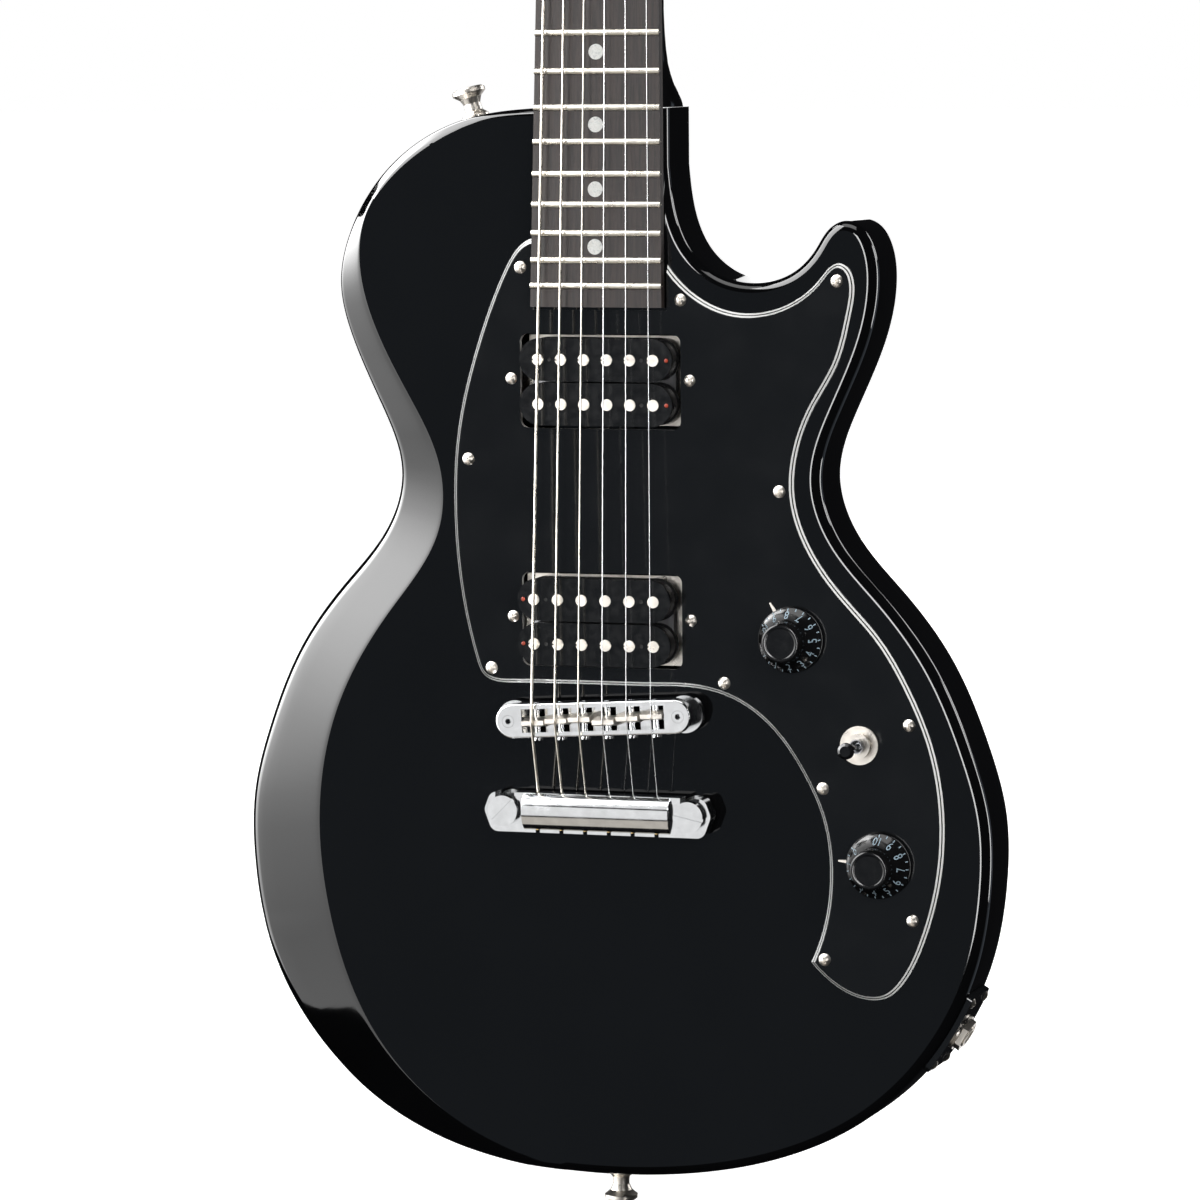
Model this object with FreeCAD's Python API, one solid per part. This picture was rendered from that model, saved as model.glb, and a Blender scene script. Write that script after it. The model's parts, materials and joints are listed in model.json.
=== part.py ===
"""Electric guitar, single cutaway, millimetres.

+Z runs up the neck, +X points to the treble side and the front faces -Y. The origin is on the
body's back face, on the centre line, level with the line where the strings cross the bridge.
"""
import FreeCAD, Part

import math
import os

from FreeCAD import Placement, Rotation, Vector

# ---- driving dimensions ---------------------------------------------------------------------

# Scale and strings
SCALE = 628.65
FRET_COUNT = 22
STRING_RADIUS = [0.585, 0.455, 0.33, 0.215, 0.165, 0.127]
BRIDGE_PITCH = 10.35
NUT_PITCH = 7.1
SADDLE_STRING_HEIGHT = 19.2

# Body: front plane at TOP, back plane at y = 0
BODY_T = 35.0
TOP = -BODY_T
BODY_ROUND = 4.5
JOINT_Z = 249.5
JOINT_HALF = 28.5
# Half of the outline below the upper bout, from the widest point of the upper bout down
SIDE_POINTS = [(117.5, 177), (113, 154), (100.5, 124.5), (93, 98), (100.5, 73.5), (120, 50), (141, 22),
               (156, -12), (163.6, -40), (164, -70), (156.5, -107), (139, -139), (111, -166.5),
               (67, -186.8), (22, -194.4)]
BOTTOM_Z = -195.2
SHOULDER_POINTS = [(-28.5, 249.5), (-48, 247.6), (-73.5, 239.6), (-98, 221), (-112.5, 198)]
HORN_POINTS = [(115.2, 194), (110.5, 201), (103, 203.4), (96.5, 200), (91, 192)]
CUTAWAY_POINTS = [(81, 182.2), (66, 177.9), (50, 181), (38, 191), (31.2, 206.5), (28.5, 226)]

# Arm bevel: (inner x, inner z), (outer x, outer z), depth at the outer edge
BEVEL_STATIONS = [((-29, 249.8), (-29, 252), 0.4), ((-55, 243.6), (-56.5, 246.6), 1.8),
                  ((-86, 227), (-90, 230), 3.6), ((-103.4, 205), (-110.5, 207), 5.2),
                  ((-106.2, 184), (-117, 184), 6.4), ((-101, 162), (-115.5, 160), 7.4),
                  ((-85, 130), (-102, 127), 8.6), ((-72, 101), (-93, 101), 10),
                  ((-72.5, 75), (-96, 81), 11.2), ((-94, 41), (-115.5, 55), 12.6),
                  ((-118.5, 0), (-147, 11), 14), ((-128, -48), (-163.8, -44), 15),
                  ((-124, -88), (-160, -93), 14.2), ((-104.5, -138.5), (-126, -154), 11),
                  ((-59, -179.5), (-66, -187.4), 4.4), ((-20, -194), (-20, -197), 0.4)]

# Neck: fingerboard plane, its fall at the nut, and widths
NUT_FACE_Y = TOP + 10.3
NECK_PITCH = 2.393
NUT_HALF = 21.5
LAST_FRET_HALF = 28.25
BOARD_T = 5.5
BOARD_RADIUS = 305.0
BOARD_LENGTH = 461.0
# Neck back: distance from the nut, depth below the fretboard, squareness of the section
NECK_STATIONS = [(8, 14.6, 2.1), (40, 14.4, 2.1), (180, 15.4, 2.1), (300, 16.2, 2.1), (335, 16.8, 2.2),
                 (350, 18.4, 2.5), (361, 22, 3.2), (370, 29.5, 4.8), (379, 38.5, 7)]
TENON_HALF = 19.0
TENON_DEPTH = 24.0
TENON_END_Z = 181.0

# Headstock
HEAD_ANGLE = 14.0
HEAD_DROP = 4.5
HEAD_T = 15.0
HEAD_LENGTH = 178.0
HEAD_SIDE = [(21.5, -2), (23.5, 8), (32, 30), (36, 60), (38.5, 110), (41, 158)]
POST_PLACES = [(21.5, 38), (24.5, 77), (27.5, 116)]

# Truss rod under the fretboard, cover over its nut
ROD_Y = BOARD_T + 4.5
ROD_R = 2.5
COVER_T = 2.0
COVER_SCREWS = [(-8, 5), (8, 5), (0, 36)]

# Tuners behind the headstock: housing, worm and wheel; the string's wrap round the post
HOUSING_HALF_X = 9.0
HOUSING_HALF_Z = 10.0
HOUSING_T = 12.0
LUG_T = 1.6
LUG_OFFSET = 8.8
WHEEL_R = 5.3
WORM_R = 2.6
WORM_DROP = 8.2
SHAFT_R = 2.0
SHAFT_Y = HEAD_T + 6.5
WAIST_R = 2.5
WRAP_GAP = 0.08
WRAP_TURN = 200.0

# Frets, dots and nut
FRET_WIDTH = 2.6
FRET_HEIGHT = 1.1
TANG_WIDTH = 0.55
TANG_DEPTH = 1.9
DOT_RADIUS = 3.2
SIDE_DOT_RADIUS = 1.0
DOT_FRETS = [3, 5, 7, 9, 15, 17, 19, 21]
OCTAVE_FRET = 12
OCTAVE_DOT_X = 9.0
NUT_T = 5.0
SLOT_GAP = 0.04

# Pickguard
GUARD_T = 2.5
GUARD_BEVEL = 1.9
GUARD_FACE = TOP - GUARD_T
SLOT_END_Z = 166.6
SLOT_HALF = 29.0
# Edge from the treble side of the slot round the horn, down the waist and round the controls
GUARD_TREBLE = [(29, 185.2), (41, 173), (55, 166.6), (70, 166.2), (83, 170.8), (94, 180), (98.5, 185)]
GUARD_HORN = [(98.5, 185), (102, 186.3), (105.8, 184.4), (108.2, 179), (107, 166), (101, 145),
              (91, 127.5), (84, 109), (82.6, 92), (88, 73), (103, 51), (118, 34.5), (131, 13.5),
              (140.5, -9), (145.5, -36), (144.6, -62), (137, -91.5), (128.5, -108), (121, -114.6),
              (113, -115.6), (102, -112), (89, -101)]
GUARD_INNER = [(89, -101), (95.2, -83), (97.2, -62), (94.4, -42), (86, -23), (72, -4), (55, 7.5),
               (40, 11.2), (20, 11.4), (0, 11.4), (-20, 11.4), (-38, 11.2)]
GUARD_LEFT = [(-45.5, 11.3), (-52, 13.6), (-56, 21.5), (-61.5, 45), (-65, 85), (-63.2, 115),
              (-56, 146), (-48, 169), (-41, 184.5), (-35.5, 192.5), (-29, 196.3)]
GUARD_SCREWS = [(-34.4, 184), (34.9, 171), (101.6, 179.2), (-57.9, 104.3), (76.8, 93), (-48.5, 17.3),
                (52.8, 13.6), (131.5, -1.6), (94.8, -28.7), (132.8, -82), (95.3, -99.5)]

# Pickups: centre height on the body, and how far the pole tops stand above the body's front
PICKUPS = {"neck": (137.2, 9.4), "bridge": (38.3, 14.2)}
PICKUP_OPEN_HALF_X = 34.8
PICKUP_OPEN_HALF_Z = 19.6
ROW_OFFSET = 9.2
BOBBIN_HALF_X = 33.0
BOBBIN_HALF_Z = 8.8
BOBBIN_H = 12.0
CORE_HALF_X = 29.8
CORE_HALF_Z = 3.4
FLANGE_T = 1.4
POLE_RADIUS = 2.4
PICKUP_SCREW_X = 38.7
POLE_PITCH = {"neck": 9.95, "bridge": 10.35}

# Bridge and tailpiece, slanted so that the bass saddles sit further from the nut
BRIDGE_Z = -1.3
BRIDGE_SLANT = 3.2
BRIDGE_HALF = 42.4
BRIDGE_HALF_Z = 7.1
BRIDGE_TOP = 16.0
BRIDGE_UNDER = 6.6
POST_X = 36.9
WINDOW_HALF_X = 2.9
TROUGH_HALF_Z = 4.9
SADDLE_OFFSETS = [-0.9, -0.2, 0.2, -1.2, 0.0, 0.6]
THUMBWHEEL_R = 7.8
TAIL_Z = -41.0
STUD_X = 40.3
TAIL_HALF = 49.4
TAIL_FRONT_Z = -33.5
TAIL_REAR_Z = -50.0
STRING_TAIL_HEIGHT = 9.2

# Controls on the pickguard
VOLUME_AT = (82.0, 32.5)
TONE_AT = (119.0, -59.3)
SWITCH_AT = (110.4, -10.3)
KNOB_SKIRT_R = 13.5
KNOB_TOP_R = 7.9
KNOB_H = 16.0
POINTER_ANGLES = {"volume": 122.0, "tone": 176.0}
SWITCH_PIVOT_Y = TOP - 3.0
LEVER_BALL_R = 1.9
LEVER_PIN_R = 0.6
LEVER_PIN_HALF = 2.5
TIP_START = 12.5

# Jack on the lower treble edge, strap buttons
JACK_AT = (146.5, -129.5)
JACK_PLATE_LONG = 38.0
JACK_PLATE_WIDE = 27.0
JACK_PLATE_T = 2.3
JACK_SCREW_X = 15.5
JACK_SCREW_Y = 10.0
JACK_BORE_R = 3.25
BUTTON_AT_SHOULDER = (-60.0, 244.8)
MID_Y = TOP / 2

# Running clearance of shafts in their holes
RUN = 0.06


# ---- helpers --------------------------------------------------------------------------------

def front(height):
    """y of a point that stands this far above the body's front plane."""
    return TOP - height


def block(x0, x1, y0, y1, z0, z1):
    return Part.makeBox(x1 - x0, y1 - y0, z1 - z0, Vector(x0, y0, z0))


def rod(radius, start, end):
    start, end = Vector(*start), Vector(*end)
    return Part.makeCylinder(radius, (end - start).Length, start, end - start)


def tube(outer, inner, start, end):
    return rod(outer, start, end).cut(rod(inner, start, end))


def hexagon_nut(across, bore, start, end):
    """Hexagonal nut whose axis runs from start to end."""
    start, end = Vector(*start), Vector(*end)
    radius = across / math.sqrt(3)
    corners = [Vector(radius * math.cos(math.radians(60 * k)), radius * math.sin(math.radians(60 * k)), 0)
               for k in range(7)]
    solid = Part.Face(Part.makePolygon(corners)).extrude(Vector(0, 0, (end - start).Length))
    solid = place(solid, Placement(start, Rotation(Vector(0, 0, 1), end - start)))
    return solid.cut(Part.makeCylinder(bore, (end - start).Length, start, end - start))


def place(shape, placement):
    moved = shape.copy()
    moved.Placement = placement.multiply(moved.Placement)
    return moved


def spline(points):
    curve = Part.BSplineCurve()
    curve.interpolate([Vector(*point) for point in points])
    return curve.toShape()


def segment(start, end):
    return Part.LineSegment(Vector(*start), Vector(*end)).toShape()


def flat(points, y=0.0):
    """(x, z) pairs as points on the plane at y."""
    return [(x, y, z) for x, z in points]


def slab(edges, depth):
    """Solid that grows along +y from a closed outline in a plane of constant y."""
    wire = Part.Wire(Part.__sortEdges__(edges))
    return Part.Face(wire).extrude(Vector(0, depth, 0))


def rounded_block(half_x, half_z, corner, y0, y1, centre=(0.0, 0.0)):
    """Block with its four y-edges rounded."""
    x, z = centre
    solid = block(x - half_x, x + half_x, y0, y1, z - half_z, z + half_z)
    along_y = [e for e in solid.Edges if abs(e.tangentAt(e.FirstParameter).y) > 0.99]
    return solid.makeFillet(corner, along_y)


def lathe(profile, centre, axis):
    """Revolve (radius, distance along the axis) pairs about an axis through centre."""
    points = [Vector(r, 0, h) for r, h in profile]
    face = Part.Face(Part.makePolygon(points + [points[0]]))
    solid = face.revolve(Vector(0, 0, 0), Vector(0, 0, 1), 360)
    return place(solid, Placement(Vector(*centre), Rotation(Vector(0, 0, 1), Vector(*axis))))


def sweep_round(edges, radius):
    """Round tube along a chain of tangent edges."""
    path = Part.Wire(edges)
    first = path.OrderedEdges[0]
    start = first.valueAt(first.FirstParameter)
    ring = Part.Wire(Part.makeCircle(radius, start, first.tangentAt(first.FirstParameter)))
    return path.makePipeShell([ring], True, False)


def bend(corner, before, after, radius):
    """Tangent arc at a corner: its start, middle and end."""
    inward, outward = (before - corner).normalize(), (after - corner).normalize()
    half = inward.getAngle(outward) / 2
    reach = radius / math.tan(half)
    bisector = (inward + outward).normalize()
    middle = corner + bisector * (radius / math.sin(half) - radius)
    return corner + inward * reach, middle, corner + outward * reach


def rounded_path(points, radii):
    """Straight runs joined by tangent arcs; one radius for each inner point."""
    points = [Vector(*p) for p in points]
    edges, last = [], points[0]
    for index, radius in enumerate(radii, start=1):
        start, middle, end = bend(points[index], points[index - 1], points[index + 1], radius)
        edges.append(Part.LineSegment(last, start).toShape())
        edges.append(Part.Arc(start, middle, end).toShape())
        last = end
    edges.append(Part.LineSegment(last, points[-1]).toShape())
    return edges


def save(node, solids):
    solids = solids if isinstance(solids, list) else [solids]
    pieces = [piece for solid in solids for piece in solid.Solids]
    shape = pieces[0] if len(pieces) == 1 else Part.Compound(pieces)
    shape.exportStep(os.path.join("parts", node + ".step"))


# ---- frames of the neck and the headstock -----------------------------------------------------

# Neck frame: origin on the fretboard's crown at the nut, z up the neck, y to the back
NECK = Placement(Vector(0, NUT_FACE_Y, SCALE), Rotation(Vector(1, 0, 0), -NECK_PITCH))
HEAD = NECK.multiply(Placement(Vector(0, HEAD_DROP, NUT_T), Rotation(Vector(1, 0, 0), -HEAD_ANGLE)))
BRIDGE = Placement(Vector(0, TOP, BRIDGE_Z), Rotation(Vector(0, 1, 0), -BRIDGE_SLANT))


def fret_distance(number):
    return SCALE * (1 - 2 ** (-number / 12))


def board_half(distance):
    slope = (LAST_FRET_HALF - NUT_HALF) / fret_distance(FRET_COUNT)
    return NUT_HALF + slope * distance


def string_x(index, pitch):
    return (index - 2.5) * pitch


# ---- body -------------------------------------------------------------------------------------

def body_outline_edges():
    mirrored = [(-x, z) for x, z in reversed(SIDE_POINTS)]
    treble = HORN_POINTS + CUTAWAY_POINTS
    loop = SHOULDER_POINTS + mirrored[::-1] + [(0, BOTTOM_Z)] + SIDE_POINTS[::-1] + treble
    edge = spline(flat(loop, TOP))
    return [edge, segment((CUTAWAY_POINTS[-1][0], TOP, CUTAWAY_POINTS[-1][1]), (JOINT_HALF, TOP, JOINT_Z)),
            segment((JOINT_HALF, TOP, JOINT_Z), (-JOINT_HALF, TOP, JOINT_Z))]


def bevel_cutter():
    """Everything in front of the arm bevel: a loft of slanted slices."""
    slices = []
    for inner, outer, depth in BEVEL_STATIONS:
        near = Vector(inner[0], TOP, inner[1])
        far = Vector(outer[0], TOP + depth, outer[1])
        run = far - near
        low, high = near - run * 0.12, far + run * 0.6
        above = [Vector(high.x, TOP - 12, high.z), Vector(low.x, TOP - 12, low.z)]
        slices.append(Part.makePolygon([low, high] + above + [low]))
    return Part.makeLoft(slices, True, False)


def disc_pocket(at, radius, depth):
    return rod(radius, (at[0], TOP - 1, at[1]), (at[0], TOP + depth, at[1]))


def control_cavity():
    """Rout under the pickguard for the potentiometers and the switch."""
    depth = 27
    cavity = disc_pocket(VOLUME_AT, 19, depth).fuse(disc_pocket(SWITCH_AT, 17, depth))
    cavity = cavity.fuse(disc_pocket(TONE_AT, 18, depth))
    for start, end in ((VOLUME_AT, SWITCH_AT), (SWITCH_AT, TONE_AT)):
        length = math.hypot(end[0] - start[0], end[1] - start[1])
        lean = math.degrees(math.atan2(end[1] - start[1], end[0] - start[0]))
        link = block(0, length, TOP - 1, TOP + depth, -12, 12)
        cavity = cavity.fuse(place(link, Placement(Vector(start[0], 0, start[1]),
                                                   Rotation(Vector(0, 1, 0), -lean))))
    return cavity


def jack_frame():
    """Origin on the outline, z out of the body's side, x along the edge, y to the back."""
    edge = body_outline_edges()[0]
    parameter = edge.Curve.parameter(Vector(JACK_AT[0], TOP, JACK_AT[1]))
    origin, along = edge.Curve.value(parameter), edge.Curve.tangent(parameter)[0]
    outward = along.cross(Vector(0, 1, 0))
    if outward.x < 0:
        outward = outward * -1
    return Placement(Vector(origin.x, MID_Y, origin.z), Rotation(outward.cross(Vector(0, 1, 0)) * -1,
                                                                 Vector(0, 1, 0), outward, "ZYX"))


def shoulder_frame():
    edge = body_outline_edges()[0]
    parameter = edge.Curve.parameter(Vector(BUTTON_AT_SHOULDER[0], TOP, BUTTON_AT_SHOULDER[1]))
    origin, along = edge.Curve.value(parameter), edge.Curve.tangent(parameter)[0]
    outward = along.cross(Vector(0, 1, 0))
    if outward.z < 0:
        outward = outward * -1
    return Placement(Vector(origin.x, MID_Y, origin.z), Rotation(Vector(0, 0, 1), outward))


def jack_bore_end():
    return JACK.multVec(Vector(0, 0, -40))


def body():
    solid = slab(body_outline_edges(), BODY_T)
    rim = [e for e in solid.Edges
           if min(abs(v.Y - TOP) for v in e.Vertexes) < 0.01 and e.BoundBox.YLength < 0.01
           or max(abs(v.Y) for v in e.Vertexes) < 0.01]
    outline = [e for e in rim if e.BoundBox.XLength > 60 or e.BoundBox.XLength < 1]
    solid = solid.makeFillet(BODY_ROUND, outline)
    solid = solid.fuse(block(-27.2, 27.2, TOP, -BODY_ROUND, 236, JOINT_Z)).removeSplitter()
    solid = solid.cut(bevel_cutter())
    solid = solid.cut(block(-TENON_HALF, TENON_HALF, TOP - 1, TOP + TENON_DEPTH, TENON_END_Z, JOINT_Z + 1))
    for centre_z, _ in PICKUPS.values():
        solid = solid.cut(rounded_block(44.5, 20.6, 4, TOP - 1, TOP + 20, (0, centre_z)))
    solid = solid.cut(block(-9, 9, TOP - 1, TOP + 13, 55, 120))
    solid = solid.cut(block(40, 70, TOP - 1, TOP + 16, 29, 41))
    solid = solid.cut(control_cavity())
    end = jack_bore_end()
    solid = solid.cut(rod(11, JACK.multVec(Vector(0, 0, 2)), end))
    solid = solid.cut(rod(4, (TONE_AT[0] - 2, MID_Y, TONE_AT[1]), (end.x + 4, MID_Y, end.z + 3)))
    for side in (-1, 1):
        post = BRIDGE.multVec(Vector(side * POST_X, 0, 0))
        solid = solid.cut(disc_pocket((post.x, post.z), 5.5, 18))
        solid = solid.cut(disc_pocket((side * STUD_X, TAIL_Z), 6.2, 24))
    for x, z in GUARD_SCREWS:
        solid = solid.cut(rod(1.3, (x, TOP - 1, z), (x, TOP + 11, z)))
    for frame in (SHOULDER, BOTTOM):
        solid = solid.cut(place(rod(1.8, (0, 0, 1), (0, 0, -26)), frame))
    for frame in jack_screw_frames():
        solid = solid.cut(place(rod(1.3, (0, 0, 1), (0, 0, -10)), frame))
    return solid


# ---- neck -------------------------------------------------------------------------------------

def neck_section(half, depth, squareness, z, top):
    """D-shaped outline: flat against the fretboard, rounded behind."""
    steps = 16
    points = []
    for step in range(steps + 1):
        angle = math.pi * step / steps
        cosine, sine = math.cos(angle), math.sin(angle)
        x = half * math.copysign(abs(cosine) ** (2 / squareness), cosine)
        points.append((x, top + depth * abs(sine) ** (2 / squareness), z))
    return Part.Wire([spline(points), segment(points[-1], points[0])])


def headstock():
    right = spline(flat(HEAD_SIDE))
    left = spline(flat([(-x, z) for x, z in HEAD_SIDE]))
    top_x, top_z = HEAD_SIDE[-1]
    corner = 15.0
    crown = [(top_x, top_z), (top_x - 4, top_z + 10), (top_x - corner, HEAD_LENGTH - 3)]
    right_top = spline(flat(crown))
    left_top = spline(flat([(-x, z) for x, z in crown]))
    cap = Part.Arc(Vector(crown[-1][0], 0, crown[-1][1]), Vector(0, 0, HEAD_LENGTH),
                   Vector(-crown[-1][0], 0, crown[-1][1])).toShape()
    foot = segment((HEAD_SIDE[0][0], 0, HEAD_SIDE[0][1]), (-HEAD_SIDE[0][0], 0, HEAD_SIDE[0][1]))
    return slab([right, left, right_top, left_top, cap, foot], HEAD_T)


def neck():
    sections = [neck_section(board_half(d), depth, square, -d, BOARD_T)
                for d, depth, square in NECK_STATIONS]
    shaft = Part.makeLoft(sections, True, False)
    front_d, front_depth, front_square = NECK_STATIONS[0]
    nut_section = neck_section(board_half(front_d), front_depth, front_square, -front_d, BOARD_T)
    head_section = neck_section(26.5, HEAD_T - 1, 4.5, 0, 0)
    below_nut = Placement(Vector(0, 0.5, 18), Rotation())
    head_section.Placement = NECK.inverse().multiply(HEAD).multiply(below_nut)
    volute = Part.makeLoft([nut_section, head_section], True, True)
    seat = block(-NUT_HALF, NUT_HALF, BOARD_T, BOARD_T + 6, -9, NUT_T)
    solid = place(shaft.fuse(volute).fuse(seat), NECK).fuse(place(headstock(), HEAD))
    above = place(Part.makeBox(200, 60, 200, Vector(-100, -60, 0)), HEAD)
    behind_nut = place(Part.makeBox(200, 60, 400, Vector(-100, -60, NUT_T)), NECK)
    board_room = place(Part.makeBox(200, 60, 700, Vector(-100, BOARD_T - 60, NUT_T - 700)), NECK)
    solid = solid.cut([above.common(behind_nut), board_room])
    solid = solid.common(block(-200, 200, -200, 200, JOINT_Z, 1000))
    wedge = place(board_plan(BOARD_T, BOARD_T + 12), NECK)
    wedge = wedge.common(block(-60, 60, -200, TOP, 0, JOINT_Z))
    tenon = block(-TENON_HALF, TENON_HALF, TOP, TOP + TENON_DEPTH, TENON_END_Z, JOINT_Z)
    solid = solid.fuse([wedge, tenon]).removeSplitter()
    solid = solid.cut(place(rod(ROD_R, (0, ROD_Y, -416), (0, ROD_Y, 12)), NECK))
    solid = solid.cut(place(rounded_block(5, 10, 4, -1, 9.8, (0, 10.5)), HEAD))
    for side in (-1, 1):
        for x, z in POST_PLACES:
            solid = solid.cut(place(rod(5.0, (side * x, -1, z), (side * x, HEAD_T + 1, z)), HEAD))
            screw_z = z + LUG_OFFSET
            pilot = rod(1.1, (side * x, HEAD_T + 1, screw_z), (side * x, HEAD_T - 8, screw_z))
            solid = solid.cut(place(pilot, HEAD))
    for x, z in COVER_SCREWS:
        solid = solid.cut(place(rod(1.1, (x, -1, z), (x, 6.5, z)), HEAD))
    return solid


def board_plan(y0, y1):
    corners = [(board_half(0), 0), (board_half(BOARD_LENGTH), -BOARD_LENGTH),
               (-board_half(BOARD_LENGTH), -BOARD_LENGTH), (-board_half(0), 0)]
    points = [Vector(x, y0, z) for x, z in corners]
    return Part.Face(Part.makePolygon(points + [points[0]])).extrude(Vector(0, y1 - y0, 0))


def crown_cylinder(rise=0.0):
    """Cylinder whose surface is the playing surface, raised by rise."""
    return Part.makeCylinder(BOARD_RADIUS + rise, BOARD_LENGTH + 20,
                             Vector(0, BOARD_RADIUS, -BOARD_LENGTH - 10), Vector(0, 0, 1))


def dot_places():
    places = []
    for number in DOT_FRETS + [OCTAVE_FRET]:
        middle = (fret_distance(number) + fret_distance(number - 1)) / 2
        offsets = (-OCTAVE_DOT_X, OCTAVE_DOT_X) if number == OCTAVE_FRET else (0.0,)
        places += [(x, middle) for x in offsets]
    return places


def side_dot_places():
    places = []
    for number in DOT_FRETS + [OCTAVE_FRET]:
        middle = (fret_distance(number) + fret_distance(number - 1)) / 2
        offsets = (-4.0, 4.0) if number == OCTAVE_FRET else (0.0,)
        places += [middle + offset for offset in offsets]
    return places


def dot_blanks():
    dots = [rod(DOT_RADIUS, (x, -1, -d), (x, 2.2, -d)) for x, d in dot_places()]
    sides = []
    for distance in side_dot_places():
        edge = board_half(distance)
        sides.append(rod(SIDE_DOT_RADIUS, (-edge - 1, 3.2, -distance), (-edge + 2, 3.2, -distance)))
    return dots, sides


def fret_blank(number):
    """Bead and tang, bent to the board's radius."""
    z = -fret_distance(number)
    half_angle = math.degrees(math.asin((board_half(-z) + 2) / BOARD_RADIUS))
    half = FRET_WIDTH / 2
    left, right = Vector(0, 0, z - half), Vector(0, 0, z + half)
    bead = Part.Arc(left, Vector(0, -FRET_HEIGHT, z), right).toShape()
    tang = TANG_WIDTH / 2
    outline = [bead, segment(right, (0, 0, z + tang)), segment((0, 0, z + tang), (0, TANG_DEPTH, z + tang)),
               segment((0, TANG_DEPTH, z + tang), (0, TANG_DEPTH, z - tang)),
               segment((0, TANG_DEPTH, z - tang), (0, 0, z - tang)), segment((0, 0, z - tang), left)]
    face = Part.Face(Part.Wire(outline))
    centre = Vector(0, BOARD_RADIUS, z)
    face.rotate(centre, Vector(0, 0, 1), -half_angle)
    return face.revolve(centre, Vector(0, 0, 1), 2 * half_angle)


def tang_slot(number):
    z = -fret_distance(number)
    tang = TANG_WIDTH / 2
    ring = Part.makeCylinder(BOARD_RADIUS + 1, 2 * tang, Vector(0, BOARD_RADIUS, z - tang), Vector(0, 0, 1))
    core = Part.makeCylinder(BOARD_RADIUS - TANG_DEPTH, 2 * tang, Vector(0, BOARD_RADIUS, z - tang),
                             Vector(0, 0, 1))
    return ring.cut(core).common(block(-40, 40, -5, 8, z - 1, z + 1))


def fretboard():
    board = board_plan(-1, BOARD_T).common(crown_cylinder())
    dots, sides = dot_blanks()
    board = board.cut(dots + sides + [tang_slot(n) for n in range(1, FRET_COUNT + 1)])
    return place(board, NECK)


def frets():
    plan = board_plan(-3, BOARD_T)
    return [place(fret_blank(n).common(plan), NECK) for n in range(1, FRET_COUNT + 1)]


def position_dots():
    plan = board_plan(-1, BOARD_T)
    crown = crown_cylinder()
    dots, sides = dot_blanks()
    faces = [dot.common(crown) for dot in dots]
    edges = [dot.common(plan) for dot in sides]
    return [place(dot, NECK) for dot in faces + edges]


def nut_string_y(index):
    """Height of a string's centre over the nut, in the neck frame."""
    x = string_x(index, NUT_PITCH)
    return -(FRET_HEIGHT + 0.4 + STRING_RADIUS[index]) + x * x / (2 * BOARD_RADIUS)


def nut_in_head(index):
    """Where a string's centre line turns over the nut, in the headstock frame."""
    nut_point = NECK.multVec(Vector(string_x(index, NUT_PITCH), nut_string_y(index), NUT_T / 2))
    return HEAD.inverse().multVec(nut_point)


def nut():
    solid = block(-NUT_HALF, NUT_HALF, -3.2, BOARD_T, 0, NUT_T)
    crown = Part.makeCylinder(BOARD_RADIUS + 2.4, 8, Vector(0, BOARD_RADIUS, -1), Vector(0, 0, 1))
    solid = place(solid.common(crown), NECK)
    for index, radius in enumerate(STRING_RADIUS):
        slot = radius + SLOT_GAP
        x, y = string_x(index, NUT_PITCH), nut_string_y(index)
        over = nut_in_head(index)
        front_mouth = place(block(x - slot, x + slot, y - 5, y, -1, NUT_T / 2 + 0.4), NECK)
        rear_mouth = block(over.x - slot, over.x + slot, over.y - 5, over.y, over.z - 0.4, over.z + 5)
        channel = sweep_round(string_edges(index), slot)
        solid = solid.cut([front_mouth, place(rear_mouth, HEAD), channel])
    return solid


def truss_rod():
    shank = rod(ROD_R, (0, ROD_Y, -415), (0, ROD_Y, 12))
    nut_piece = hexagon_nut(6.35, ROD_R, (0, ROD_Y, 6.5), (0, ROD_Y, 12.5))
    return [place(shank, NECK), place(nut_piece, NECK)]


def truss_rod_cover():
    """Plain bell-shaped plate over the rod's nut."""
    edge = [(11.5, 1), (11.8, 8), (8.5, 16), (6, 26), (3.8, 38.5)]
    tip_x, tip_z = edge[-1]
    right = spline(flat(edge, -COVER_T))
    left = spline(flat([(-x, z) for x, z in edge], -COVER_T))
    foot = segment((edge[0][0], -COVER_T, 1), (-edge[0][0], -COVER_T, 1))
    tip = Part.Arc(Vector(tip_x, -COVER_T, tip_z), Vector(0, -COVER_T, tip_z + 2.2),
                   Vector(-tip_x, -COVER_T, tip_z)).toShape()
    plate = slab([right, left, foot, tip], COVER_T)
    for x, z in COVER_SCREWS:
        plate = plate.cut(rod(1.1, (x, -COVER_T - 1, z), (x, 1, z)))
    return place(plate, HEAD)


# ---- screws -----------------------------------------------------------------------------------

def wood_screw(radius, head_radius, length):
    """Round-head cross-slot screw; its head sits on z = 0 and the shank points to -z."""
    dome = Part.makeSphere(head_radius * 1.25, Vector(0, 0, -head_radius * 0.78))
    head = dome.common(Part.makeCylinder(head_radius, 4))
    for turn in (0, 90):
        slot = block(-head_radius * 0.62, head_radius * 0.62, -0.28, 0.28, head_radius * 0.2, 4)
        slot.rotate(Vector(0, 0, 0), Vector(0, 0, 1), turn + 20)
        head = head.cut(slot)
    shank = Part.makeCylinder(radius, length, Vector(0, 0, -length))
    return head.fuse(shank)


def facing_front(x, y, z):
    """Placement that turns +z to the front, at a point."""
    return Placement(Vector(x, y, z), Rotation(Vector(1, 0, 0), 90))


def facing_back(x, y, z):
    return Placement(Vector(x, y, z), Rotation(Vector(1, 0, 0), -90))


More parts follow.
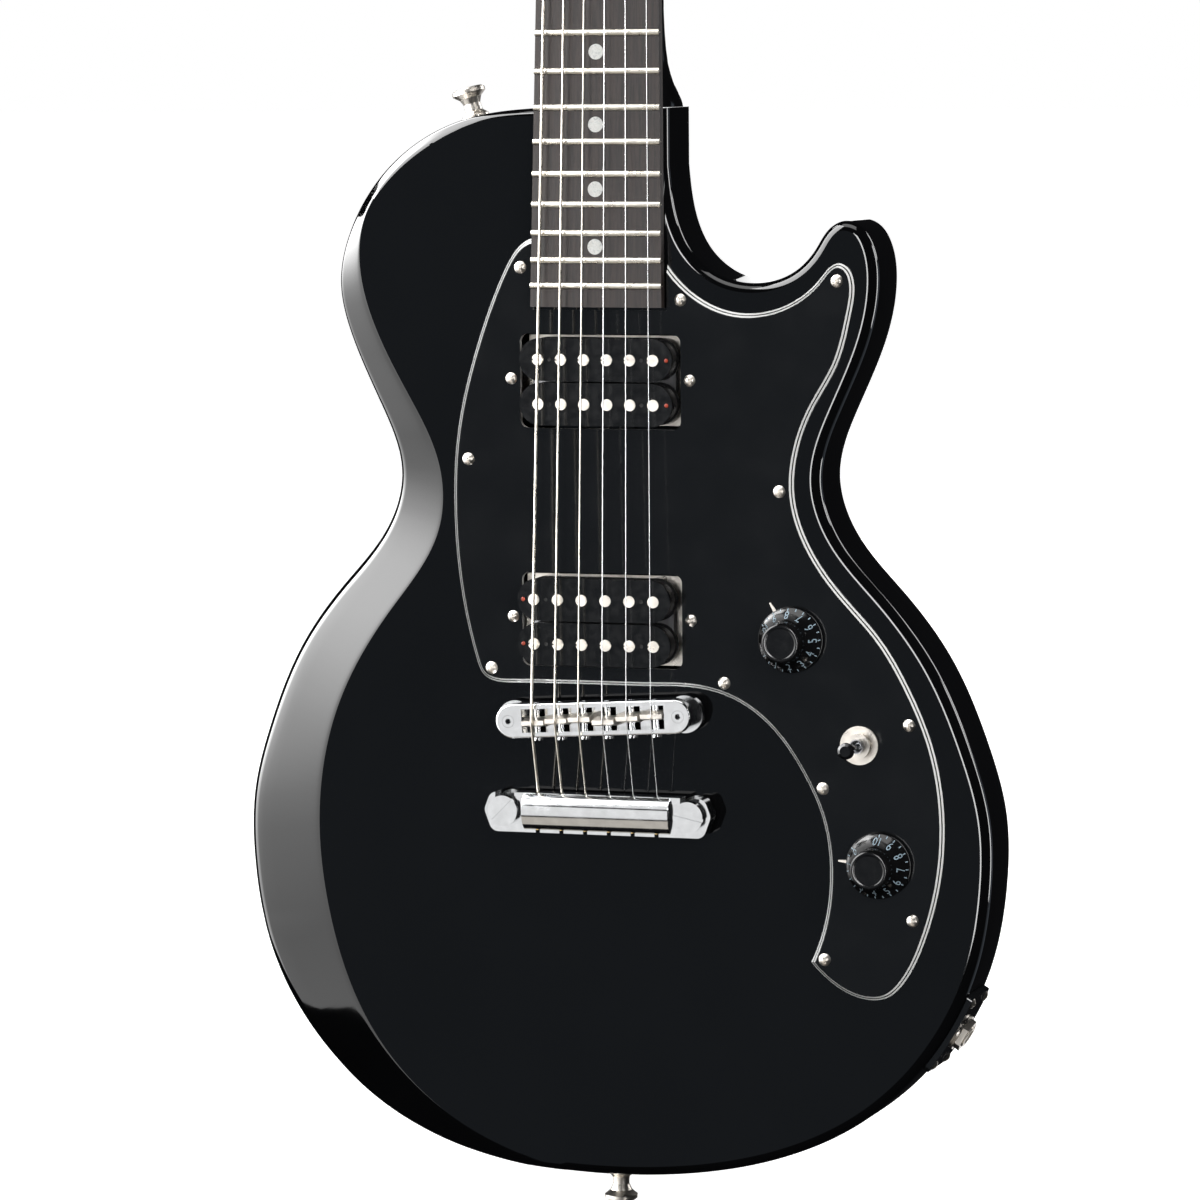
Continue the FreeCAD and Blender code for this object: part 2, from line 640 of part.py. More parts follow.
def small_wood_screws():
    screws = [place(wood_screw(1.3, 2.65, 12), facing_front(x, GUARD_FACE, z)) for x, z in GUARD_SCREWS]
    screws += [place(wood_screw(1.3, 2.5, 9), frame) for frame in jack_screw_frames()]
    for x, z in COVER_SCREWS:
        screws.append(place(wood_screw(1.1, 2.0, 8), HEAD.multiply(facing_front(x, -COVER_T, z))))
    for side in (-1, 1):
        for x, z in POST_PLACES:
            at = facing_back(side * x, HEAD_T + LUG_T, z + LUG_OFFSET)
            screws.append(place(wood_screw(1.1, 2.2, 9), HEAD.multiply(at)))
    return screws


# ---- pickguard --------------------------------------------------------------------------------

def pickguard():
    slot = [segment((-SLOT_HALF, GUARD_FACE, GUARD_LEFT[-1][1]), (-SLOT_HALF, GUARD_FACE, SLOT_END_Z)),
            segment((-SLOT_HALF, GUARD_FACE, SLOT_END_Z), (SLOT_HALF, GUARD_FACE, SLOT_END_Z)),
            segment((SLOT_HALF, GUARD_FACE, SLOT_END_Z), (SLOT_HALF, GUARD_FACE, GUARD_TREBLE[0][1]))]
    sides = [spline(flat(points, GUARD_FACE))
             for points in (GUARD_TREBLE + GUARD_HORN[1:], GUARD_INNER + GUARD_LEFT)]
    plate = slab(slot + sides, GUARD_T)
    rim = [e for e in plate.Edges if e.BoundBox.YMax < GUARD_FACE + 0.01 and e.BoundBox.ZLength > 50]
    plate = plate.makeChamfer(GUARD_BEVEL, rim)
    for centre_z, _ in PICKUPS.values():
        opening = rounded_block(PICKUP_OPEN_HALF_X, PICKUP_OPEN_HALF_Z, 3.5, GUARD_FACE - 1, TOP + 1,
                                (0, centre_z))
        plate = plate.cut(opening)
        for side in (-1, 1):
            x = side * PICKUP_SCREW_X
            plate = plate.cut(rod(1.75, (x, GUARD_FACE - 1, centre_z + 0.8), (x, TOP + 1, centre_z + 0.8)))
    for (x, z), radius in ((VOLUME_AT, 4.8), (TONE_AT, 4.8), (SWITCH_AT, 3.1)):
        plate = plate.cut(rod(radius, (x, GUARD_FACE - 1, z), (x, TOP + 1, z)))
    for x, z in GUARD_SCREWS:
        plate = plate.cut(rod(1.3, (x, GUARD_FACE - 1, z), (x, TOP + 1, z)))
    return plate


# ---- pickups ----------------------------------------------------------------------------------

def capsule(half_x, half_z, y0, y1, centre):
    """Plate with fully rounded ends."""
    x, z = centre
    reach = half_x - half_z
    solid = block(x - reach, x + reach, y0, y1, z - half_z, z + half_z)
    for side in (-1, 1):
        solid = solid.fuse(rod(half_z, (x + side * reach, y0, z), (x + side * reach, y1, z)))
    return solid.removeSplitter()


def pickup_rows():
    """(pickup, row z, pole-top y, True where the poles are screws) for the four bobbins."""
    rows = []
    for name, (centre, height) in PICKUPS.items():
        for side in (1, -1):
            screws = side == 1 if name == "neck" else side == -1
            rows.append((name, centre + side * ROW_OFFSET, front(height), screws))
    return rows


def pole_xs(name):
    return [string_x(index, POLE_PITCH[name]) for index in range(6)]


def pickup_bobbins():
    bobbins = []
    for name, z, top, _ in pickup_rows():
        face = top + 0.6
        upper = capsule(BOBBIN_HALF_X, BOBBIN_HALF_Z, face, face + FLANGE_T, (0, z))
        core = capsule(CORE_HALF_X, CORE_HALF_Z, face, face + BOBBIN_H, (0, z))
        lower = capsule(BOBBIN_HALF_X, BOBBIN_HALF_Z, face + BOBBIN_H - FLANGE_T, face + BOBBIN_H, (0, z))
        bobbin = upper.fuse([core, lower])
        for x in pole_xs(name):
            bobbin = bobbin.cut(rod(POLE_RADIUS, (x, face - 1, z), (x, face + BOBBIN_H + 1, z)))
        bobbins.append(bobbin)
    return bobbins


def pickup_coils():
    coils = []
    for _, z, top, _ in pickup_rows():
        y0, y1 = top + 0.6 + FLANGE_T, top + 0.6 + BOBBIN_H - FLANGE_T
        outer = capsule(BOBBIN_HALF_X - 1, BOBBIN_HALF_Z - 1, y0, y1, (0, z))
        coils.append(outer.cut(capsule(CORE_HALF_X, CORE_HALF_Z, y0, y1, (0, z))))
    return coils


def pickup_slugs():
    slugs = []
    for name, z, top, screws in pickup_rows():
        if not screws:
            slugs += [rod(POLE_RADIUS, (x, top + 0.2, z), (x, top + 0.6 + BOBBIN_H + 4, z))
                      for x in pole_xs(name)]
    return slugs


def pickup_pole_screws():
    screws = []
    for name, z, top, is_screw_row in pickup_rows():
        if not is_screw_row:
            continue
        for x in pole_xs(name):
            pole = rod(POLE_RADIUS, (x, top, z), (x, top + 3, z))
            pole = pole.fuse(rod(1.5, (x, top + 3, z), (x, top + 21.5, z)))
            screws.append(pole.cut(block(x - 3, x + 3, top - 1, top + 1, z - 0.4, z + 0.4)))
    return screws


def pickup_magnets():
    """A bar magnet between the rows and the steel keeper bar under the screw row."""
    pieces = []
    for name, z, top, is_screw_row in pickup_rows():
        if not is_screw_row:
            continue
        centre = PICKUPS[name][0]
        under = top + 0.6 + BOBBIN_H
        inner = 6.6
        pieces.append(block(-31, 31, under, under + 3.2, centre - inner, centre + inner))
        keeper = block(-31, 31, under, under + 3.2, min(z - 2.4, z + 2.4), max(z - 2.4, z + 2.4))
        for x in pole_xs(name):
            keeper = keeper.cut(rod(1.5, (x, under - 1, z), (x, under + 4, z)))
        pieces.append(keeper)
    return pieces


def pickup_baseplates():
    plates = []
    for centre, height in PICKUPS.values():
        y = front(height) + 0.6 + BOBBIN_H + 4
        plate = block(-34, 34, y, y + 1.2, centre - 18.6, centre + 18.6)
        for side in (-1, 1):
            leg = block(33.4, 34.6, y, y + 6, centre - 5, centre + 6)
            foot = block(33.4, 42.5, y + 4.8, y + 6, centre - 5, centre + 6)
            hole = rod(1.5, (PICKUP_SCREW_X, y, centre + 0.8), (PICKUP_SCREW_X, y + 9, centre + 0.8))
            ear = leg.fuse(foot).cut(hole)
            if side < 0:
                ear = ear.mirror(Vector(0, 0, 0), Vector(1, 0, 0))
            plate = plate.fuse(ear)
        plates.append(plate.cut(pole_clearances(y)))
    return plates


def pole_clearances(y):
    holes = []
    for name, z, _, is_screw_row in pickup_rows():
        if is_screw_row:
            holes += [rod(1.5, (x, y - 2, z), (x, y + 3, z)) for x in pole_xs(name)]
    return holes


def pickup_height_screws():
    screws = []
    for centre, _ in PICKUPS.values():
        for side in (-1, 1):
            x, z = side * PICKUP_SCREW_X, centre + 0.8
            screws.append(place(wood_screw(1.5, 2.5, 21), facing_front(x, GUARD_FACE, z)))
    return screws


def pickup_springs():
    """Sleeves of the springs between the pickguard and the pickups' feet."""
    springs = []
    for centre, height in PICKUPS.values():
        foot = front(height) + 0.6 + BOBBIN_H + 4 + 4.8
        for side in (-1, 1):
            x, z = side * PICKUP_SCREW_X, centre + 0.8
            springs.append(tube(2.6, 1.8, (x, TOP, z), (x, foot, z)))
    return springs


# ---- bridge and tailpiece ---------------------------------------------------------------------

def saddle_string(index):
    """Where a string's centre line turns over its saddle."""
    x = string_x(index, BRIDGE_PITCH)
    at = BRIDGE.multVec(Vector(x, 0, SADDLE_OFFSETS[index]))
    return Vector(x, front(SADDLE_STRING_HEIGHT - x * x / (2 * BOARD_RADIUS)), at.z)


def bridge_body():
    solid = capsule(BRIDGE_HALF, BRIDGE_HALF_Z, -BRIDGE_TOP, -BRIDGE_UNDER, (0, 0))
    rim = [e for e in solid.Edges if e.BoundBox.YMax < -BRIDGE_TOP + 0.01]
    solid = solid.makeFillet(0.8, rim)
    solid = solid.cut(block(-31, 31, -BRIDGE_TOP - 1, -BRIDGE_UNDER - 2.2, -TROUGH_HALF_Z, TROUGH_HALF_Z))
    for index in range(6):
        x = string_x(index, BRIDGE_PITCH)
        window = block(x - WINDOW_HALF_X, x + WINDOW_HALF_X, -BRIDGE_UNDER - 3, 0,
                       -TROUGH_HALF_Z, TROUGH_HALF_Z)
        solid = solid.cut(window)
        solid = solid.cut(rod(1.3, (x, -BRIDGE_UNDER - 4.6, -BRIDGE_HALF_Z - 1),
                              (x, -BRIDGE_UNDER - 4.6, BRIDGE_HALF_Z + 1)))
    for side in (-1, 1):
        solid = solid.cut(rod(2.6, (side * POST_X, -BRIDGE_TOP - 1, 0), (side * POST_X, 0, 0)))
    return place(solid, BRIDGE)


def bridge_saddles():
    saddles = []
    for index in range(6):
        x, z = string_x(index, BRIDGE_PITCH), SADDLE_OFFSETS[index]
        contact = BRIDGE.inverse().multVec(saddle_string(index))
        top = contact.y + STRING_RADIUS[index] + 0.35
        low = -BRIDGE_UNDER - 2.2
        flank = [Vector(x, top, z - 0.9), Vector(x, top, z + 0.9), Vector(x, top + 4.5, z + 1.9),
                 Vector(x, low, z + 1.9), Vector(x, low, z - 1.9), Vector(x, top + 4.5, z - 1.9)]
        saddle = Part.Face(Part.makePolygon(flank + [flank[0]])).extrude(Vector(9.4, 0, 0))
        saddle.translate(Vector(-4.7, 0, 0))
        saddle = saddle.cut(rod(1.3, (x, -BRIDGE_UNDER - 4.6, z - 5), (x, -BRIDGE_UNDER - 4.6, z + 5)))
        groove = rod(STRING_RADIUS[index] + 0.3, (x, contact.y, z - 5), (x, contact.y, z + 5))
        saddles.append(place(saddle.cut(groove), BRIDGE))
    return saddles


def saddle_screws():
    screws = []
    y = -BRIDGE_UNDER - 4.6
    for index in range(6):
        x = string_x(index, BRIDGE_PITCH)
        shank = rod(1.25, (x, y, -BRIDGE_HALF_Z), (x, y, BRIDGE_HALF_Z - 0.4))
        head = rod(1.9, (x, y, -BRIDGE_HALF_Z - 1.5), (x, y, -BRIDGE_HALF_Z))
        slot = block(x - 0.3, x + 0.3, y - 3, y + 3, -BRIDGE_HALF_Z - 2, -BRIDGE_HALF_Z - 0.9)
        screws.append(place(head.fuse(shank).cut(slot), BRIDGE))
    return screws


def bridge_thumbwheels():
    low = -BRIDGE_UNDER
    wheels = [tube(THUMBWHEEL_R, 2.5, (x, low, 0), (x, low + 3.6, 0)) for x in (-POST_X, POST_X)]
    return [place(wheel, BRIDGE) for wheel in wheels]


def bridge_posts():
    posts = []
    for side in (-1, 1):
        x = side * POST_X
        post = rod(2.5, (x, -BRIDGE_TOP, 0), (x, 16, 0))
        socket = rod(1.2, (x, -BRIDGE_TOP - 1, 0), (x, -BRIDGE_TOP + 3, 0))
        posts.append(place(post.cut(socket), BRIDGE))
    return posts


def body_bushings():
    """Threaded inserts of the bridge posts and the tailpiece studs."""
    inserts = []
    for side in (-1, 1):
        x = side * POST_X
        insert = tube(5.5, 2.5, (x, 0, 0), (x, 17, 0)).fuse(tube(6.6, 2.5, (x, -0.8, 0), (x, 0, 0)))
        inserts.append(place(insert, BRIDGE))
        x = side * STUD_X
        insert = tube(6.2, 3.9, (x, TOP, TAIL_Z), (x, TOP + 23, TAIL_Z))
        inserts.append(insert.fuse(tube(7.4, 3.9, (x, TOP - 0.8, TAIL_Z), (x, TOP, TAIL_Z))))
    return inserts


def tailpiece():
    """Stop bar: flat ears with open slots and a raised, rounded middle."""
    middle_z = (TAIL_FRONT_Z + TAIL_REAR_Z) / 2
    ear_top, bar_under = front(11.2), front(3.6)
    corners = [(-46, TAIL_REAR_Z), (46, TAIL_REAR_Z), (TAIL_HALF, TAIL_Z), (46.5, TAIL_FRONT_Z),
               (-46.5, TAIL_FRONT_Z), (-TAIL_HALF, TAIL_Z)]
    points = [Vector(x, ear_top, z) for x, z in corners]
    bar = Part.Face(Part.makePolygon(points + [points[0]])).extrude(Vector(0, bar_under - ear_top, 0))
    upright = [e for e in bar.Edges if e.BoundBox.YLength > 1]
    bar = bar.makeFillet(4, upright)
    half = 31.8
    hump = [(TAIL_REAR_Z + 0.2, front(9)), (TAIL_REAR_Z + 3.5, front(13.4)), (middle_z - 1, front(15)),
            (TAIL_FRONT_Z - 3, front(14.2)), (TAIL_FRONT_Z - 0.2, front(11))]
    crest = spline([(-half, y, z) for z, y in hump])
    (first_z, first_y), (last_z, last_y) = hump[0], hump[-1]
    base = [(-half, last_y, last_z), (-half, front(6), last_z), (-half, front(6), first_z),
            (-half, first_y, first_z)]
    edges = [crest] + [segment(base[k], base[k + 1]) for k in range(3)]
    ridge = Part.Face(Part.Wire(edges)).extrude(Vector(2 * half, 0, 0))
    bar = bar.fuse(ridge)
    for side in (-1, 1):
        x = side * STUD_X
        bar = bar.cut(rod(4.2, (x, front(20), TAIL_Z), (x, TOP, TAIL_Z)))
        bar = bar.cut(block(x - 4.2, x + 4.2, front(20), TOP, TAIL_Z, TAIL_FRONT_Z + 2))
    for index, radius in enumerate(STRING_RADIUS):
        x, y = string_x(index, BRIDGE_PITCH), front(STRING_TAIL_HEIGHT)
        bar = bar.cut(rod(1.0, (x, y, TAIL_REAR_Z - 1), (x, y, TAIL_FRONT_Z + 1)))
        bar = bar.cut(rod(2.2, (x, y, TAIL_REAR_Z - 1), (x, y, TAIL_REAR_Z + 5)))
        bar = bar.cut(rod(1.6, (x, y, TAIL_FRONT_Z - 3), (x, y - 1.2, TAIL_FRONT_Z + 1)))
    return bar


def tailpiece_studs():
    studs = []
    for side, turn in ((-1, 45), (1, -12)):
        x = side * STUD_X
        head = rod(6.4, (x, front(14.4), TAIL_Z), (x, front(11.3), TAIL_Z))
        slot = block(-7, 7, front(15), front(13.2), -0.8, 0.8)
        slot.rotate(Vector(0, 0, 0), Vector(0, 1, 0), -turn)
        slot.translate(Vector(x, 0, TAIL_Z))
        neck_part = rod(4.0, (x, front(11.3), TAIL_Z), (x, front(3.5), TAIL_Z))
        flange = rod(6.4, (x, front(3.5), TAIL_Z), (x, front(1.2), TAIL_Z))
        thread = rod(3.9, (x, front(1.2), TAIL_Z), (x, TOP + 20, TAIL_Z))
        studs.append(head.cut(slot).fuse([neck_part, flange, thread]))
    return studs


# ---- strings and tuners -----------------------------------------------------------------------

def post_place(index):
    """Post of a string, in the headstock frame: bass strings on the left, farthest post innermost."""
    order = index if index < 3 else 5 - index
    x, z = POST_PLACES[order]
    return (-x if index < 3 else x), z


def string_edges(index):
    """Ball end to tuner post: runs over the saddle and the nut, then a turn round the post."""
    radius = STRING_RADIUS[index]
    saddle = saddle_string(index)
    tail_y = front(STRING_TAIL_HEIGHT)
    start = Vector(saddle.x, tail_y, TAIL_REAR_Z + 4)
    entry = Vector(saddle.x, tail_y, TAIL_FRONT_Z - 2.5)
    at_head = nut_in_head(index)
    post_x, post_z = post_place(index)
    side = -1 if post_x < 0 else 1
    wrap = WAIST_R + radius + WRAP_GAP
    reach = math.hypot(at_head.x - post_x, at_head.z - post_z)
    towards = math.atan2(at_head.z - post_z, at_head.x - post_x)
    touch = towards - side * math.acos(wrap / reach)

    def on_post(angle):
        x, z = post_x + wrap * math.cos(angle), post_z + wrap * math.sin(angle)
        return HEAD.multVec(Vector(x, at_head.y, z))

    turn = -side * math.radians(WRAP_TURN)
    edges = rounded_path([start, entry, saddle, HEAD.multVec(at_head), on_post(touch)], [6, 3, 8])
    edges.append(Part.Arc(on_post(touch), on_post(touch + turn / 2), on_post(touch + turn)).toShape())
    return edges


def make_strings(indices):
    return [sweep_round(string_edges(index), STRING_RADIUS[index]) for index in indices]


def ball_ends():
    balls = []
    for index in range(6):
        x, y = string_x(index, BRIDGE_PITCH), front(STRING_TAIL_HEIGHT)
        balls.append(tube(2.1, STRING_RADIUS[index], (x, y, TAIL_REAR_Z + 1.2), (x, y, TAIL_REAR_Z + 4.8)))
    return balls


def tuner_frame(index):
    """Post axis on y, and +x outwards to the button."""
    x, z = post_place(index)
    frame = HEAD.multiply(Placement(Vector(x, 0, z), Rotation()))
    if x < 0:
        return frame.multiply(Placement(Vector(0, 0, 0), Rotation(Vector(0, 1, 0), 180)))
    return frame


def worm_z(index):
    """The worm lies on the nut side of the post on both sides of the headstock."""
    return WORM_DROP if index < 3 else -WORM_DROP


def button_reach(index):
    x, z = post_place(index)
    return 42.0 - abs(x) + 10.5


def tuner_housing(index):
    """Case over the worm and wheel, with a lug for its screw and a neck for the worm shaft."""
    worm = worm_z(index)
    shell = rounded_block(HOUSING_HALF_X, HOUSING_HALF_Z, 4, HEAD_T, HEAD_T + HOUSING_T, (0, worm / 2))
    rim = [e for e in shell.Edges if e.BoundBox.YMin > HEAD_T + HOUSING_T - 0.01]
    shell = shell.makeFillet(1.8, rim)
    shaft_neck = rod(4.2, (HOUSING_HALF_X - 2, SHAFT_Y, worm), (HOUSING_HALF_X + 4.5, SHAFT_Y, worm))
    lug_z = -math.copysign(LUG_OFFSET, worm)
    lug = rod(3.4, (0, HEAD_T, lug_z), (0, HEAD_T + LUG_T, lug_z))
    cavity = rod(WHEEL_R + 0.4, (0, HEAD_T - 1, 0), (0, HEAD_T + 10, 0))
    worm_room = rod(WORM_R + 0.3, (-6.6, SHAFT_Y, worm), (6.6, SHAFT_Y, worm))
    passage = rod(SHAFT_R + RUN, (0, SHAFT_Y, worm), (30, SHAFT_Y, worm))
    screw_hole = rod(1.1, (0, HEAD_T - 1, lug_z), (0, HEAD_T + LUG_T + 1, lug_z))
    clear_head = rod(2.4, (0, HEAD_T + LUG_T, lug_z), (0, HEAD_T + LUG_T + 4, lug_z))
    case = shell.fuse([shaft_neck, lug]).cut([cavity, worm_room, passage, screw_hole, clear_head])
    return place(case, tuner_frame(index))


def tuner_post(index):
    level = nut_in_head(index).y
    post = rod(3.0, (0, level + 2.6, 0), (0, HEAD_T + 9, 0))
    waist = rod(WAIST_R, (0, level - 3.4, 0), (0, level + 2.6, 0))
    cap = rod(3.0, (0, level - 8.5, 0), (0, level - 3.4, 0))
    wheel = rod(WHEEL_R, (0, SHAFT_Y - 2.2, 0), (0, SHAFT_Y + 2.2, 0))
    hole = rod(1.0, (-4, level - 2.2, 0), (4, level - 2.2, 0))
    radius = STRING_RADIUS[index]
    pieces = [post.fuse([waist, cap, wheel]).cut(hole)]
    for ring in range(1, 3):
        y = level + ring * (2 * radius + 0.06)
        if y + radius < level + 2.6:
            pieces.append(Part.makeTorus(WAIST_R + radius, radius, Vector(0, y, 0), Vector(0, 1, 0)))
    return [place(piece, tuner_frame(index)) for piece in pieces]


def tuner_button(index):
    """Button on its worm shaft."""
    z = worm_z(index)
    reach = button_reach(index)
    shaft = rod(SHAFT_R, (-6, SHAFT_Y, z), (reach + 6, SHAFT_Y, z)).fuse(
        rod(WORM_R, (-6, SHAFT_Y, z), (6, SHAFT_Y, z)))
    collar = rod(3.6, (reach - 5.5, SHAFT_Y, z), (reach, SHAFT_Y, z))
    outline = [(0, -6), (6, -8.5), (13.5, -8), (16, 0), (13.5, 8), (6, 8.5), (0, 6)]
    curve = Part.BSplineCurve()
    curve.interpolate([Vector(reach + x, SHAFT_Y - 3.2, z + w) for x, w in outline], PeriodicFlag=True)
    grip = Part.Face(Part.Wire(curve.toShape())).extrude(Vector(0, 6.4, 0))
    grip = grip.makeFillet(1.8, [e for e in grip.Edges if e.BoundBox.YLength < 0.01])
    bored = grip.fuse(collar).cut(rod(SHAFT_R, (-6, SHAFT_Y, z), (reach + 6, SHAFT_Y, z)))
    return [place(shaft, tuner_frame(index)), place(bored, tuner_frame(index))]


def tuner_bushings():
    bushings = []
    for index in range(6):
        sleeve = tube(5.0, 3.0 + RUN, (0, 0, 0), (0, HEAD_T - 1, 0))
        flange = tube(6.8, 3.0 + RUN, (0, -1.6, 0), (0, 0, 0))
        bushings.append(place(sleeve.fuse(flange), tuner_frame(index)))
    return bushings


# ---- controls ---------------------------------------------------------------------------------

def knob(at):
    """Top-hat knob: flared skirt, straight crown, hollow underneath, bored for the shaft."""
    bore = [(3.0, 3.8), (3.0, 12.2), (0, 12.2)]
    crown = [(0, KNOB_H), (KNOB_TOP_R - 0.6, KNOB_H), (KNOB_TOP_R, KNOB_H - 0.6), (KNOB_TOP_R + 0.6, 8.2),
             (KNOB_TOP_R + 1.3, 6.6)]
    skirt = [(12.6, 2.6), (KNOB_SKIRT_R, 1.8), (KNOB_SKIRT_R, 0), (12.2, 0)]
    hollow = [(7.4, 4.5), (7.4, 8), (5.4, 8), (5.4, 3.8)]
    return lathe(bore + crown + skirt + hollow, (at[0], GUARD_FACE - 1.9, at[1]), (0, -1, 0))


def pot_housing(at):
    x, z = at
    can = rod(12, (x, TOP + 3, z), (x, TOP + 12, z))
    board = block(x - 8, x + 8, TOP + 3, TOP + 5, z - 15.5, z)
    bush = rod(4.7, (x, GUARD_FACE - 5, z), (x, TOP + 3, z)).fuse(rod(8.5, (x, TOP, z), (x, TOP + 3, z)))
    return can.fuse([board, bush]).cut(rod(3 + RUN, (x, GUARD_FACE - 9, z), (x, TOP + 8, z)))


def pot_shaft(at):
    return rod(3.0, (at[0], GUARD_FACE - 1.9 - 12, at[1]), (at[0], TOP + 7.5, at[1]))


def pot_nut(at):
    x, z = at
    return hexagon_nut(12.7, 4.7, (x, GUARD_FACE - 0.8, z), (x, GUARD_FACE - 3, z))


def knob_pointer(at, angle):
    """Thin ring under the nut with a pointer that reaches past the knob's skirt."""
    x, z = at
    ring = tube(7.5, 4.7, (x, GUARD_FACE - 0.8, z), (x, GUARD_FACE, z))
    half = [(4.9, 0, 1.4), (13.4, 0, 0.7), (17.6, 0, 0.3)]
    arm = half + [(x, y, -z) for x, y, z in half[::-1]] + half[:1]
    tip = Part.Face(Part.makePolygon([Vector(*corner) for corner in arm])).extrude(Vector(0, -0.8, 0))
    tip = place(tip, Placement(Vector(x, GUARD_FACE, z), Rotation(Vector(0, 1, 0), -angle)))
    return ring.fuse(tip)


def switch_housing():
    """Switch case, threaded bushing and the funnel that the lever rocks in."""
    x, z = SWITCH_AT
    case = block(x - 5, x + 5, TOP, TOP + 12, z - 6.6, z + 6.6)
    bush = rod(3.0, (x, GUARD_FACE - 5, z), (x, TOP, z))
    passage = lathe([(0, 0), (LEVER_BALL_R + RUN, 0), (LEVER_BALL_R + RUN, 5), (2.6, 9), (0, 9)],
                    (x, TOP + 1, z), (0, -1, 0))
    chamber = block(x - 3.8, x + 3.8, TOP + 0.6, TOP + 10.5, z - 5, z + 5)
    reach = LEVER_PIN_HALF + RUN
    pin_hole = rod(LEVER_PIN_R + RUN, (x - reach, SWITCH_PIVOT_Y, z), (x + reach, SWITCH_PIVOT_Y, z))
    return case.fuse(bush).cut([passage, chamber, pin_hole])


def switch_lever():
    x, z = SWITCH_AT
    ball = Part.makeSphere(LEVER_BALL_R, Vector(x, SWITCH_PIVOT_Y, z))
    stalk = lathe([(0, 0), (0.9, 0), (1.3, 9), (1.3, 18), (0, 18)], (x, SWITCH_PIVOT_Y, z), (0, -1, 0))
    tail = rod(0.8, (x, SWITCH_PIVOT_Y, z), (x, TOP + 8, z))
    pin = rod(LEVER_PIN_R, (x - LEVER_PIN_HALF, SWITCH_PIVOT_Y, z), (x + LEVER_PIN_HALF, SWITCH_PIVOT_Y, z))
    return ball.fuse([stalk, tail, pin])


def switch_tip():
    x, z = SWITCH_AT
    profile = [(0, 0), (1.9, 0), (2.4, 3.4), (3.4, 6.6), (3.3, 7.8), (2.2, 8.6), (0, 8.6)]
    cap = lathe(profile, (x, SWITCH_PIVOT_Y - TIP_START, z), (0, -1, 0))
    return cap.cut(switch_lever())


def switch_nut():
    """Flat washer with a round nut that holds the switch to the pickguard."""
    x, z = SWITCH_AT
    washer = tube(8.0, 3.0, (x, GUARD_FACE - 0.8, z), (x, GUARD_FACE, z))
    return [washer, tube(5.2, 3.0, (x, GUARD_FACE - 3, z), (x, GUARD_FACE - 0.8, z))]


def tone_capacitor():
    x, z = TONE_AT
    centre_x, centre_z = x - 8.5, z - 5
    disc = rod(4.5, (centre_x, TOP + 16.5, centre_z), (centre_x, TOP + 19, centre_z))
    legs = [rod(0.35, (centre_x + side, TOP + 17.5, centre_z), (centre_x + side, TOP + 12.6, centre_z))
            for side in (-2.5, 2.5)]
    return disc.fuse(legs)


def hookup_wires():
    """Insulated leads between the pickups, controls and jack."""
    volume, tone, switch = VOLUME_AT, TONE_AT, SWITCH_AT
    neck_z, bridge_z = PICKUPS["neck"][0], PICKUPS["bridge"][0]
    deep = TOP + 16
    routes = [
        [(5, TOP + 10, neck_z - 10), (5, TOP + 10, 50), (28, deep + 1, 35), (60, TOP + 11, 35),
         (75, deep, 30), (96, deep, 8), (switch[0] - 2, deep, switch[1] + 4)],
        [(20, TOP + 15, bridge_z - 8), (46, TOP + 11, 32), (62, TOP + 11, 32), (80, deep + 2, 20),
         (98, deep + 2, 2), (switch[0] - 3, deep + 2, switch[1])],
        [(volume[0] + 2, deep - 2.8, volume[1] - 8), (98, deep - 2, 12),
         (switch[0] + 3, deep - 2, switch[1] + 2)],
        [(volume[0] - 2, deep + 5, volume[1] - 2), (96, deep + 6, 0), (112, deep + 6, -30),
         (tone[0] + 2, deep + 5, -50)],
    ]
    end = jack_bore_end()
    inlet = Vector(end.x + 4, MID_Y, end.z + 3)
    routes.append([(tone[0] - 2, deep + 3, tone[1] + 2), (tone[0] - 2, MID_Y + 0.5, tone[1] - 12),
                   tuple(inlet)])
    wires = []
    for route in routes:
        radii = []
        for before, corner, after in zip(route, route[1:], route[2:]):
            runs = [(Vector(*before) - Vector(*corner)).Length, (Vector(*after) - Vector(*corner)).Length]
            turn = math.pi - (Vector(*before) - Vector(*corner)).getAngle(Vector(*after) - Vector(*corner))
            radii.append(0.4 * min(runs) / math.tan(turn / 2))
        wires.append(sweep_round(rounded_path(route, radii), 0.8))
    return wires


# ---- jack and strap buttons -------------------------------------------------------------------

def jack_edge_radius():
    """Radius of the body's edge near the jack."""
    edge = body_outline_edges()[0]
    middle = edge.Curve.parameter(Vector(JACK_AT[0], TOP, JACK_AT[1]))
    return 1 / edge.Curve.curvature(middle)


def jack_screw_frames():
    """Frames on the jack plate's outer face, +z out of the plate, at its four screws."""
    radius = jack_edge_radius()
    frames = []
    for x in (-JACK_SCREW_X, JACK_SCREW_X):
        for y in (-JACK_SCREW_Y, JACK_SCREW_Y):
            lean = Rotation(Vector(0, 1, 0), math.degrees(math.asin(x / radius)))
            frames.append(JACK.multiply(Placement(Vector(x, y, plate_height(x)), lean)))
    return frames


def plate_height(x):
    """Outer face of the jack plate above the jack frame's origin plane."""
    radius = jack_edge_radius() + 0.1
    return math.sqrt((radius + JACK_PLATE_T) ** 2 - x * x) - radius + 0.1


